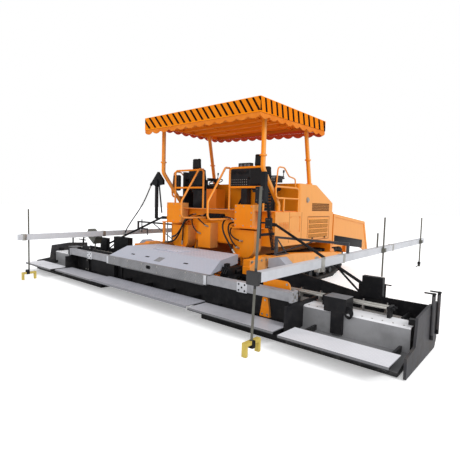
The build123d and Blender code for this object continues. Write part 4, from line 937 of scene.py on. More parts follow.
class Assembly:
    """Base of the sub-assemblies: puts pieces on bodies and finishes on nodes."""

    body = Body.TRACTOR           # what the pieces ride on unless they say otherwise

    def build(self) -> None:
        """Build and dress the sub-assembly."""
        raise NotImplementedError

    def add(self, name: str, shape: Shape, coat: Coat, body: Body | None = None) -> bpy.types.Object:
        """Finish a piece.

        Args:
            name: its name.
            shape: its mesh.
            coat: its finish.
            body: what it rides on, the assembly's own if left out.

        Returns:
            The piece.
        """
        made = shape.object(name, coat.value)
        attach(made, (body or self.body).value)
        LOG.info("%s: %d faces on %s", name, len(made.data.polygons), (body or self.body).value)
        return made

    def add_pairs(self, *pieces: tuple[str, Callable[[], Shape], Coat, tuple[Body, Body]]) -> None:
        """Add pieces on the right, then their mirror images on the left.

        Args:
            pieces: name, maker of the right shape, finish and right and left bodies of each.
        """
        for index, side in enumerate(SIDES):
            for name, make, coat, bodies in pieces:
                self.add(f"{name}_{side}", make().flipped() if index else make(), coat, bodies[index])


def evaluated(piece: bpy.types.Object) -> bpy.types.Mesh:
    """The piece's mesh with its modifiers applied.

    Args:
        piece: object with modifiers.

    Returns:
        A new mesh.
    """
    bpy.context.view_layer.update()
    graph = bpy.context.evaluated_depsgraph_get()
    return bpy.data.meshes.new_from_object(piece.evaluated_get(graph), depsgraph=graph)


# ---------------------------------------------------------------- soft goods
@dataclass
class Pad:
    """Stuffed vinyl pad: a rounded block swelled by a cloth simulation, with sewn channels."""

    name: str
    low: Vector
    high: Vector
    lean: float = 0.0                         # how far its top leans back, metres
    taper: float = 0.0                        # share of its width that the top loses
    channels: tuple[float, ...] = ()          # places of the sewn channels across it, from 0 to 1
    channel: tuple[float, float] = (0.022, 0.009)     # a channel's half width, as a share, and its depth
    swell: float = 0.012                      # most that a point moves, metres
    voxel: float = 0.011                      # size of its faces, metres
    inset: float = 0.008                      # from its limits to the plain block
    corner: float = 0.028                     # bevel of the plain block
    pressure: float = 4.0                     # inside its cloth
    frames: int = 16                          # steps of the cloth simulation
    fill: float = 0.7

    def block(self) -> Shape:
        """Rounded block, leaning back towards its top.

        Returns:
            The plain shape.
        """
        shape = Shape(0.0)
        inset = Vector((self.inset,) * 3)
        shape.box(self.low + inset, self.high - inset, self.corner)
        height, middle = self.high.z - self.low.z, (self.low.x + self.high.x) / 2
        for vertex in shape.mesh.verts:
            rise = (vertex.co.z - self.low.z) / height
            vertex.co.y -= self.lean * rise
            vertex.co.x = middle + (vertex.co.x - middle) * (1.0 - self.taper * rise)
        return shape

    def inflate(self, pad: bpy.types.Object) -> None:
        """Swell the pad with pressure inside its cloth and keep each point within the cap.

        Args:
            pad: piece that is swelled.
        """
        remesh = pad.modifiers.new("Remesh", "REMESH")
        remesh.mode, remesh.voxel_size, remesh.use_smooth_shade = "VOXEL", self.voxel, True
        pad.data = evaluated(pad)
        pad.modifiers.clear()
        start = [v.co.copy() for v in pad.data.vertices]
        cloth = pad.modifiers.new("Cloth", "CLOTH")
        cloth.settings.use_pressure = True
        cloth.settings.uniform_pressure_force = self.pressure
        cloth.settings.mass = 0.3
        cloth.settings.quality = 4
        cloth.settings.effector_weights.gravity = 0.0
        cloth.point_cache.frame_end = self.frames
        for number in range(1, self.frames + 1):
            bpy.context.scene.frame_set(number)
        swollen = evaluated(pad)
        pad.modifiers.clear()
        bpy.context.scene.frame_set(1)
        for vertex, before, after in zip(pad.data.vertices, start, swollen.vertices):
            move = after.co - before
            vertex.co = before + move * min(1.0, self.swell / max(move.length, 1e-6))

    def sew(self, pad: bpy.types.Object) -> None:
        """Press the sewn channels into the front or top face.

        Args:
            pad: piece that is pressed.
        """
        upright = self.high.z - self.low.z > 0.3
        width, depth = self.channel
        for vertex in pad.data.vertices:
            along = (vertex.co.x - self.low.x) / (self.high.x - self.low.x)
            press = sum(math.exp(-((along - c) / width) ** 2) for c in self.channels) * depth
            if upright and vertex.co.y > (self.low.y + self.high.y) / 2 - self.lean:
                vertex.co.y -= press
            elif not upright and vertex.co.z > (self.low.z + self.high.z) / 2:
                vertex.co.z -= press

    def make(self) -> bpy.types.Object:
        """Make the right-hand pad.

        Returns:
            The padded piece.
        """
        pad = self.block().object(self.name, Coat.VINYL.value)
        self.inflate(pad)
        self.sew(pad)
        pad.data.materials.clear()
        pad.data.materials.append(Coat.VINYL.value.material())
        pad.data.shade_smooth()
        return pad


@dataclass
class Seats(Assembly):
    """The two drivers' seats: padded cushion, back, headrest and arm pads on ribbed stands."""

    centre: float = 0.92          # X of the right seat's middle

    def pads(self) -> list[Pad]:
        """The right seat's pads.

        Returns:
            The pads, not made yet.
        """
        x = self.centre
        arm = {"swell": 0.006, "voxel": 0.008}
        return [
            Pad("seat_cushion", spot(x - 0.26, 2.18, 2.12), spot(x + 0.26, 2.68, 2.26),
                channels=(0.25, 0.5, 0.75)),
            Pad("seat_back", spot(x - 0.29, 2.185, 2.19), spot(x + 0.29, 2.295, 2.62),
                lean=0.05, taper=0.08, channels=(0.25, 0.75)),
            Pad("headrest", spot(x - 0.14, 2.142, 2.61), spot(x + 0.14, 2.234, 2.87),
                lean=0.004, taper=0.12, voxel=0.009),
            Pad("arm_pad_outer", spot(x + 0.29, 2.20, 2.355), spot(x + 0.375, 2.59, 2.412), **arm),
            Pad("arm_pad_inner", spot(x - 0.375, 2.20, 2.355), spot(x - 0.29, 2.59, 2.412), **arm),
        ]

    def stand(self) -> Shape:
        """Pleated pedestal, seat pan, back shell, headrest stems and arm brackets under the right pads.

        Returns:
            The right-hand shape.
        """
        x, shape = self.centre, Shape()
        shape.box((x - 0.11, 2.24, 1.706), (x + 0.11, 2.54, 1.76), 0.006)
        for pleat in range(5):
            base = 1.77 + pleat * 0.062
            shape.box((x - 0.105, 2.245, base), (x + 0.105, 2.535, base + 0.05), 0.022)
        shape.box((x - 0.2, 2.22, 2.078), (x + 0.2, 2.6, 2.135), 0.01)
        shape.box((x - 0.24, 2.176, 2.24), (x + 0.24, 2.20, 2.58), 0.01, Matrix.Rotation(0.11, 4, "X"))
        for stem in (x - 0.07, x + 0.07):
            shape.rod((stem, 2.186, 2.56), (stem, 2.186, 2.66), 0.008)
        for end in (1, -1):
            bracket, rest = x + end * 0.2775, x + end * 0.33
            shape.box((bracket - 0.0225, 2.23, 2.15), (bracket + 0.0225, 2.27, 2.365), 0.008)
            shape.box((rest - 0.03, 2.22, 2.335), (rest + 0.03, 2.5, 2.358), 0.006)
        return shape

    def build(self) -> None:
        """Make both seats' pads, and stands that hide the solids; the left one has a closed base."""
        for pad in self.pads():
            right = pad.make()
            left = linked(pad.name, right.data.copy())
            left.data.transform(Matrix.Diagonal((-1.0, 1.0, 1.0, 1.0)))
            left.data.flip_normals()
            for piece, side in zip((right, left), SIDES):
                piece.name = f"{pad.name}_{side}"
                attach(piece, self.body.value)
                LOG.info("%s: %d vertices", piece.name, len(piece.data.vertices))
        closed = self.stand().box((0.61, 2.205, 1.706), (1.05, 2.56, 2.12), 0.012).flipped()
        for side, stand in zip(SIDES, (self.stand(), closed)):
            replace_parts(self.add(f"seat_frame_{side}", stand, Coat.PANEL), f"seat_{side}")


@dataclass
class Valance(Assembly):
    """Four scalloped strips of coated cloth that hang from the roof's fascias."""

    half: float = 1.606           # X of the side strips
    rear: float = 1.193           # Y of the rear strip, from the screed's rear line
    front: float = 3.644          # Y of the front strip
    face: float = 0.02            # size of the cloth's faces
    wave: float = 0.26            # width of a scallop
    sag: float = 0.055            # how much shorter the cloth is between two scallops
    ripple: float = 0.0045        # depth of its folds at the hem
    inward: float = 0.003         # from the fascia's face to the cloth
    cloth: float = 0.0026         # its thickness

    def strip(self, name: str, start: Vector, end: Vector, drops: tuple[float, float],
              outward: Point) -> None:
        """Make one strip.

        Args:
            name: its name.
            start: its first upper corner.
            end: its other upper corner.
            drops: how far it hangs at its first and its other end.
            outward: direction away from the roof.
        """
        width = (end - start).length
        shape = Shape(0.0)
        bmesh.ops.create_grid(shape.mesh, x_segments=round(width / self.face), y_segments=8, size=0.5)
        layer = shape.mesh.loops.layers.uv.new("cloth")
        for loop in (loop for face in shape.mesh.faces for loop in face.loops):
            loop[layer].uv = ((loop.vert.co.x + 0.5) * width, (0.5 - loop.vert.co.y) * 0.1)
        scallops = max(1, round(width / self.wave))
        for vertex in shape.mesh.verts:
            across, down = vertex.co.x + 0.5, 0.5 - vertex.co.y
            phase = across * scallops
            scallop = abs(math.sin(math.pi * phase)) ** 0.8
            hang = drops[0] + (drops[1] - drops[0]) * across - self.sag * (1.0 - scallop)
            fold = math.sin(math.tau * phase + 0.6 * math.sin(3.0 * across * math.tau)) * self.ripple * down
            drawn_in = Vector(outward) * (fold - self.inward)
            vertex.co = start.lerp(end, across) + Vector((0.0, 0.0, -hang * down)) + drawn_in
        made = self.add(name, shape, Coat.CLOTH)
        solid = made.modifiers.new("Thickness", "SOLIDIFY")
        solid.thickness, solid.offset = self.cloth, -1.0
        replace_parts(made, "canopy_valance")

    def build(self) -> None:
        """Hang the four strips."""
        x, y0, y1 = self.half, self.rear, self.front
        for name, start, end, drops, outward in (
                ("rear", spot(-x, y0, 3.428), spot(x, y0, 3.428), (0.104, 0.104), BACK),
                ("right", spot(x, y0 + 0.006, 3.428), spot(x, y1, 3.483), (0.104, 0.122), RIGHT),
                ("front", spot(x - 0.006, y1, 3.482), spot(-x + 0.006, y1, 3.557), (0.122, 0.072), FORWARD),
                ("left", spot(-x, y1, 3.557), spot(-x, y0 + 0.026, 3.557), (0.072, 0.072), LEFT)):
            self.strip(f"valance_{name}", start, end, drops, outward)


@dataclass(frozen=True)
class HoseRun:
    """One hose or cable."""

    name: str                                     # the node it stands for, or its own name
    radius: float                                 # millimetres
    length: float                                 # metres
    points: tuple[tuple[int, int, int], ...]      # control points of its line, millimetres


HOSES = (
    HoseRun("hose_left_long", 18, 1.20, (
        (-740, 1910, 1500), (-740, 1790, 1500), (-747, 1680, 1445), (-764, 1618, 1330), (-800, 1590, 1200),
        (-868, 1580, 1075), (-972, 1588, 975), (-1105, 1610, 912), (-1245, 1630, 890), (-1365, 1630, 890))),
    HoseRun("hose_left_drop", 16, 0.73, (
        (-800, 1910, 1440), (-800, 1805, 1440), (-799, 1715, 1388), (-795, 1668, 1290), (-790, 1655, 1180),
        (-792, 1655, 1070), (-800, 1650, 965), (-806, 1650, 870))),
    HoseRun("hose_right_long", 18, 0.98, (
        (390, 1910, 1510), (390, 1792, 1510), (398, 1685, 1455), (425, 1625, 1350), (478, 1602, 1240),
        (550, 1595, 1133), (628, 1598, 1033), (702, 1604, 935), (765, 1614, 835))),
    HoseRun("hose_right_loop", 14, 0.54, (
        (300, 1910, 1520), (300, 1820, 1520), (340, 1740, 1535), (415, 1695, 1550), (505, 1690, 1552),
        (595, 1694, 1528), (680, 1697, 1490))),
    HoseRun("cable_left", 14, 1.63, (
        (-1880, 1590, 2215), (-2000, 1585, 2010), (-2150, 1578, 1790), (-2330, 1568, 1585),
        (-2530, 1552, 1385), (-2695, 1530, 1195), (-2800, 1505, 1040), (-2845, 1490, 915))),
    HoseRun("rear_hose_5", 16, 1.10, (
        (-670, 1938, 1560), (-670, 1800, 1560), (-676, 1690, 1500), (-698, 1600, 1380), (-740, 1540, 1235),
        (-830, 1515, 1110), (-945, 1520, 1045), (-1040, 1565, 1035), (-1080, 1635, 1045),
        (-1080, 1702, 1050))),
    HoseRun("rear_hose_6", 14, 0.71, (
        (-560, 1938, 1510), (-560, 1800, 1510), (-540, 1700, 1470), (-490, 1640, 1395), (-420, 1610, 1305),
        (-350, 1615, 1230), (-290, 1650, 1175), (-270, 1702, 1155))),
    HoseRun("rear_hose_7", 14, 0.72, (
        (-440, 1938, 1540), (-440, 1800, 1540), (-395, 1695, 1530), (-305, 1625, 1500), (-200, 1600, 1450),
        (-110, 1610, 1390), (-62, 1650, 1340), (-50, 1702, 1325))),
    HoseRun("rear_hose_8", 16, 0.85, (
        (520, 1938, 1440), (520, 1800, 1440), (530, 1700, 1400), (570, 1635, 1310), (632, 1600, 1205),
        (700, 1590, 1100), (768, 1610, 1010), (810, 1650, 955), (815, 1702, 940))),
    HoseRun("rear_hose_9", 14, 0.76, (
        (595, 1938, 1380), (595, 1800, 1380), (605, 1690, 1340), (650, 1600, 1265), (730, 1560, 1185),
        (830, 1580, 1125), (892, 1640, 1095), (900, 1702, 1090))),
)


@dataclass
class Hoses(Assembly):
    """Hydraulic hoses behind the body and the cable from the left mast, each on one smooth line."""

    def line(self, run: HoseRun, path: Sequence[Vector]) -> bpy.types.Object:
        """Make a hose's curve.

        Args:
            run: its facts.
            path: its control points.

        Returns:
            The curve object.
        """
        curve = bpy.data.curves.new(run.name + "_line", "CURVE")
        curve.dimensions = "3D"
        spline = curve.splines.new("NURBS")
        spline.points.add(len(path) - 1)
        for point, place in zip(spline.points, path):
            point.co = (*place, 1.0)
        spline.order_u, spline.resolution_u, spline.use_endpoint_u = 3, 10, True
        curve.bevel_depth, curve.bevel_resolution, curve.use_fill_caps = run.radius / 1000.0, 4, True
        curve.materials.append(Coat.RUBBER.value.material())
        return linked(run.name + "_dressed", curve)

    def ferrules(self, radius: float, path: Sequence[Vector]) -> Shape:
        """Crimped sleeve and hexagon nut at both ends of a hose.

        Args:
            radius: the hose's radius, metres.
            path: its control points.

        Returns:
            The fittings at both ends.
        """
        shape = Shape(0.0)
        for point, second in ((path[0], path[1]), (path[-1], path[-2])):
            away = (second - point).normalized()
            for start, end, factor, sides, round_by in (
                    (-0.002, 0.022, 1.42, 6, 0.0), (0.022, 0.034, 1.12, 20, 0.0),
                    *((0.034 + step * 0.013, 0.043 + step * 0.013, 1.22, 20, 0.001) for step in range(4)),
                    (0.03, 0.09, 1.13, 20, 0.001)):
                shape.rod(point + away * start, point + away * end, radius * factor, None, sides, round_by)
        return shape

    def build(self) -> None:
        """Make the cords and their fittings."""
        for run in HOSES:
            path = [spot(x / 1000.0, y / 1000.0, z / 1000.0) for x, y, z in run.points]
            hose = self.line(run, path)
            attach(hose, self.body.value)
            if run.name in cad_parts:
                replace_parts(hose, run.name)
            self.add(run.name + "_fittings", self.ferrules(run.radius / 1000.0, path), Coat.ZINC)


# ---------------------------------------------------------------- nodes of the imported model
NODE_COATS = {
    Coat.ROOF: "canopy_roof",
    Coat.ORANGE: "chassis body hood rear_panels rear_boxes push_beam tow_arms hood_door_right hood_door_left "
                 "hopper_wing_right hopper_wing_left canopy_posts rear_rails side_rails ext_lever_right",
    Coat.BLACK: "masts auger_hanger screed_core ext_lever_left",
    Coat.GATE: "end_gate_right end_gate_left",
    Coat.SCREED_BLACK: "ext_screed_right ext_screed_left",
    Coat.WALL_BLACK: "auger_tunnel_right auger_tunnel_left",
    Coat.SHOES: "track_right track_left",
    Coat.CHARCOAL: "track_frame_right track_frame_left",
    Coat.STEEL: "conveyor auger_right auger_left push_roller_right push_roller_left",
    Coat.DARK_STEEL: "engine",
    Coat.DESK: "control_desk",
    Coat.DECK: "deck",
    Coat.COVER: "screed_cover",
    Coat.WALKWAY: "centre_walkway",
    Coat.WHITE_PLATE: "ext_walkway_right ext_walkway_left",
    Coat.BEAM: "screed_beam",
    Coat.BOX_PLATE: "bolt_on_box_right bolt_on_box_left",
    Coat.ALLOY: "ski_beams",
    Coat.FRAME: "ski_frames",
    Coat.CONTROLS: "side_controls_right side_controls_left",
    Coat.ROD: "ski_rods",
    Coat.YELLOW: "ski_feet",
}


@dataclass
class Plating(Assembly):
    """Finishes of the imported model's own nodes."""

    def build(self) -> None:
        """Dress every node by what it is made of."""
        for coat, nodes in NODE_COATS.items():
            for name in nodes.split():
                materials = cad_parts[name].data.materials
                materials.clear()
                materials.append(coat.value.material())
                LOG.info("%s: %s", name, coat.value.name)


# ---------------------------------------------------------------- rigid fittings
@dataclass
class CanopyFittings(Assembly):
    """Clamps on the posts and ribs, collar bolts and the roof's seams."""

    post_x: float = 1.42          # X of the right posts
    post_y: float = 1.59          # Y of the rear posts
    rib_z: float = 3.538          # height of the clamps' undersides
    collar: float = 0.056         # radius of the collars' bolt circle

    def build(self) -> None:
        """Bolted saddles where the posts meet the ribs, bolts round the rear collars and three seams."""
        clamps, collars, seams = Shape(), Shape(), Shape()
        for x, y in product((-self.post_x, self.post_x), (self.post_y, 3.11)):
            clamps.box((x - 0.075, y - 0.055, self.rib_z), (x + 0.075, y + 0.055, 3.556), 0.004)
            clamps.bolts(DOWN, 0.010, product((x - 0.058, x + 0.058), (y - 0.038, y + 0.038), (self.rib_z,)))
        for x, turn in product((-self.post_x, self.post_x), range(6)):
            across, along = math.cos(math.tau * turn / 6), math.sin(math.tau * turn / 6)
            collars.bolts(UP, 0.008, [(x + across * self.collar, self.post_y + along * self.collar, 2.754)])
        for x in (-0.805, 0.0, 0.805):
            seams.box((x - 0.004, 1.22, 3.6965), (x + 0.004, 3.62, 3.6995), 0.001)
        self.add("post_clamps", clamps, Coat.ORANGE)
        self.add("collar_bolts", collars, Coat.ZINC)
        self.add("roof_seams", seams, Coat.ROOF)


@dataclass
class HoodFittings(Assembly):
    """Louvres, grille, filler cap, latches and seams on the engine hood; its methods make the right side."""

    face: float = 1.50                                            # X of the hood's side
    louvre: tuple[float, ...] = (3.27, 4.23, 1.105, 0.10875)      # Y limits, lowest Z, band height
    intake: tuple[float, ...] = (3.40, 4.24, 1.712, 1.885)        # Y and Z limits

    def louvres(self) -> Shape:
        """Four bands of raised slats between frames, in a paler orange as a painted highlight.

        Returns:
            The right-hand shape.
        """
        x, shape = self.face, Shape()
        y_low, y_high, z_low, band = self.louvre
        for low in (z_low + row * band for row in range(4)):
            shape.box((x + 0.001, y_low, low + band - 0.020), (x + 0.014, y_high, low + band - 0.004), 0.004)
            for y in spaced(y_low + 0.045, y_high - 0.045, 22):
                shape.box((x, y - 0.0055, low + 0.010), (x + 0.011, y + 0.0055, low + band - 0.026), 0.003)
        return shape

    def slots(self) -> Shape:
        """Painted shade: dark ground standing for the shade between the louvre slats.

        Returns:
            The right-hand shape.
        """
        x, shape = self.face, Shape()
        for low in (self.louvre[2] + row * self.louvre[3] for row in range(4)):
            shape.box((x - 0.001, 3.29, low + 0.006), (x + 0.0035, 4.21, low + 0.086), 0.001)
        return shape

    def latches(self) -> Shape:
        """Two door latches with their knobs.

        Returns:
            The right-hand shape.
        """
        x, shape = self.face, Shape()
        for y in (3.45, 4.05):
            shape.box((x + 0.002, y - 0.03, 1.088), (x + 0.018, y + 0.03, 1.118), 0.005)
            shape.rod((x + 0.004, y, 1.100), (x + 0.026, y, 1.100), 0.012, round_by=0.002)
        return shape

    def grille(self) -> Shape:
        """Lattice of upright and level bars over the side air intake, dark brown as painted shade.

        Returns:
            The right-hand shape.
        """
        x, shape = self.face, Shape()
        y_low, y_high, z_low, z_high = self.intake
        for y in spaced(y_low + 0.02, y_high - 0.02, 22):
            shape.box((x - 0.004, y - 0.004, z_low), (x + 0.003, y + 0.004, z_high))
        for z in spaced(z_low + 0.02, z_high - 0.02, 5):
            shape.box((x - 0.006, y_low, z - 0.004), (x + 0.002, y_high, z + 0.004))
        return shape

    def filler(self) -> Shape:
        """Fuel filler cap on its flange.

        Returns:
            The right-hand shape.
        """
        x, y, z = self.face, 3.18, 1.95
        return (Shape().rod((x, y, z), (x + 0.012, y, z), 0.058, sides=28, round_by=0.003)
                .rod((x + 0.010, y, z), (x + 0.032, y, z), 0.043, 0.040, 28, 0.004)
                .box((x + 0.030, y - 0.036, z - 0.007), (x + 0.041, y + 0.036, z + 0.007), 0.003))

    def panel(self) -> Shape:
        """Screwed access panel and vent slats behind the door.

        Returns:
            The right-hand shape.
        """
        shape = Shape().bolts(RIGHT, 0.008, product((self.face + 0.002,), (2.52, 2.87), (1.29, 1.58)))
        for z in (1.345 + step * 0.027 for step in range(5)):
            shape.box((self.face, 2.10, z - 0.005), (self.face + 0.007, 2.41, z + 0.005), 0.002)
        return shape

    def seams(self) -> Shape:
        """Thin shaded gaps round the doors and between the side panels, on both sides.

        Returns:
            The shape for both sides.
        """
        shape = Shape()
        for low, high in ((-1.5025, -1.498), (1.498, 1.5025)):
            for y, half, z_low, z_high in ((3.226, 0.005, 1.055, 1.59), (4.274, 0.005, 1.055, 1.59),
                                           (2.46, 0.004, 1.06, 1.685), (2.96, 0.004, 1.06, 1.685)):
                shape.box((low, y - half, z_low), (high, y + half, z_high), 0.0008)
            for z in (1.058, 1.587):
                shape.box((low, 3.226, z - 0.005), (high, 4.274, z + 0.005), 0.0008)
        return shape

    def build(self) -> None:
        """Both sides of the hood, and the seam and handles on its top."""
        self.add_pairs(("door_louvres", self.louvres, Coat.RIDGE_HIGHLIGHT, DOORS),
                       ("door_slot_shade", self.slots, Coat.LATTICE, DOORS),
                       ("door_latches", self.latches, Coat.BLACK, DOORS),
                       ("grille", self.grille, Coat.LATTICE, FIXED),
                       ("filler_cap", self.filler, Coat.ZINC, FIXED),
                       ("side_panel_bolts", self.panel, Coat.ORANGE, FIXED))
        self.add("side_seams", self.seams(), Coat.SEAM)
        top = Shape().box((-0.003, 2.86, 2.2895), (0.003, 3.54, 2.2935), 0.001)
        for x in (-0.45, 0.45):
            top.box((x - 0.09, 3.02, 2.291), (x + 0.09, 3.05, 2.299), 0.002)
            top.rod((x - 0.08, 3.10, 2.30), (x + 0.08, 3.10, 2.30), 0.008)
        self.add("hood_handles", top, Coat.BLACK)


@dataclass
class Platform(Assembly):
    """Controls on the driver's platform."""

    hub: Point = (-0.92, 2.86, 2.36)      # middle of the steering wheel
    rim: float = 0.175                    # its radius

    def wheel(self) -> Shape:
        """Steering wheel with three spokes on its column.

        Returns:
            The whole wheel.
        """
        hub, tilt = Vector(self.hub), Vector((0, -0.42, 0.91)).normalized()
        shape = Shape().rod((-0.92, 2.98, 2.29), hub, 0.022).ring(hub, tilt, self.rim, 0.012)
        shape.rod(hub - tilt * 0.02, hub + tilt * 0.02, 0.035, round_by=0.006)
        across = tilt.orthogonal().normalized()
        for angle in (math.tau * turn / 3 + 0.5 for turn in range(3)):
            spoke = across * math.cos(angle) + tilt.cross(across) * math.sin(angle)
            shape.rod(hub, hub + spoke * (self.rim - 0.003), 0.008)
        return shape

    def build(self) -> None:
        """Console case, dials, levers, buttons, wheel, joysticks and screens."""
        dials, levers, buttons, sticks = Shape(), Shape(), Shape(), Shape()
        for x in (0.05, 0.17, 0.27):
            dials.rod((x, 2.655, 2.705), (x, 2.647, 2.705), 0.036, sides=28, round_by=0.002)
            dials.ring((x, 2.647, 2.705), FORWARD, 0.036, 0.004, 28)
        for x in (-0.20, -0.14, -0.08, 0.0, 0.06, 0.12, 0.18, 0.24):
            levers.rod((x, 2.642, 2.50), (x, 2.592, 2.55), 0.005)
            levers.rod((x, 2.592, 2.55), (x, 2.574, 2.568), 0.013, 0.010, round_by=0.003)
        for x, z in product(spaced(-0.20, 0.234, 8), spaced(2.27, 2.38, 3)):
            buttons.rod((x, 2.641, z), (x, 2.629, z), 0.010, sides=14, round_by=0.002)
        for x, z in product(spaced(1.33, 1.394, 3), spaced(2.30, 2.36, 3)):
            buttons.rod((x, 2.031, z), (x, 2.021, z), 0.008, sides=14, round_by=0.002)
        for x in (1.25, 0.59, -0.59, -1.25):
            sticks.rod((x, 2.565, 2.41), (x, 2.565, 2.43), 0.026, 0.012, round_by=0.003)
            sticks.rod((x, 2.565, 2.41), (x, 2.575, 2.50), 0.008)
            sticks.rod((x, 2.573, 2.49), (x, 2.579, 2.55), 0.016, 0.020, round_by=0.006)
        case = Shape().box((-1.487, 1.93, 2.10), (-1.25, 2.01, 2.475), 0.035)
        self.add("left_console_case", case, Coat.PANEL)
        self.add("console_dials", dials, Coat.DIAL)
        self.add("console_levers", levers, Coat.PANEL)
        self.add("console_buttons", buttons, Coat.ZINC)
        self.add("steering_wheel", self.wheel(), Coat.PANEL)
        self.add("joysticks", sticks, Coat.PANEL)
        self.add("screens", Shape().box((-0.21, 2.646, 2.40), (-0.02, 2.652, 2.49), 0.003)
                 .box((1.325, 2.028, 2.352), (1.42, 2.034, 2.39), 0.002), Coat.DIAL)


@dataclass
class RearFittings(Assembly):
    """Box bolts, valve bank, mast coils and sleeve behind the body."""

    rear: float = 1.66            # Y of the boxes' rear faces

    def build(self) -> None:
        """Cover bolts on both boxes, the valves, the right mast's coils, the left mast's sleeve and bolts."""
        bolts = Shape()
        for low, high in ((-1.33, -0.90), (0.74, 1.13)):
            bolts.bolts(BACK, 0.010, product((low, (low + high) / 2, high), (self.rear,), (1.40, 1.78)))
            bolts.bolts(BACK, 0.010, product((low, high), (self.rear,), (1.52, 1.66)))
        self.add("rear_box_bolts", bolts, Coat.ZINC)
        bank = Shape().box((-0.34, 1.885, 1.475), (0.22, 1.943, 1.60), 0.008)
        for x in (-0.295 + step * 0.078 for step in range(7)):
            bank.box((x - 0.027, 1.835, 1.495), (x + 0.027, 1.89, 1.58), 0.005)
            bank.rod((x, 1.84, 1.537), (x, 1.80, 1.537), 0.016, sides=6)
        self.add("valve_bank", bank, Coat.BLACK)
        self.add("mast_coil", Shape()
                 .spring((1.66, 1.46, 1.875), (1.69, 1.46, 1.585), 0.036, 0.0075, 12)
                 .rod((1.66, 1.46, 1.88), (1.69, 1.46, 1.58), 0.009)
                 .spring((1.72, 1.46, 1.41), (1.83, 1.42, 1.03), 0.038, 0.0075, 16)
                 .rod((1.72, 1.46, 1.415), (1.83, 1.42, 1.02), 0.009), Coat.BLACK)
        self.add("left_mast_sleeve", Shape()
                 .rod((-1.66, 1.59, 1.43), (-1.66, 1.59, 2.20), 0.042, round_by=0.004)
                 .rod((-1.60, 1.60, 2.34), (-1.545, 1.66, 1.56), 0.017)
                 .box((-1.70, 1.56, 2.18), (-1.61, 1.62, 2.26), 0.006), Coat.BLACK)
        self.add("mast_bolts", Shape()
                 .bolts(BACK, 0.012, product((1.66, 1.71), (1.43,), (1.43, 1.56)))
                 .bolts(BACK, 0.012, product((1.44, 1.57), (1.40,), (1.90, 2.10))), Coat.DARK_STEEL)


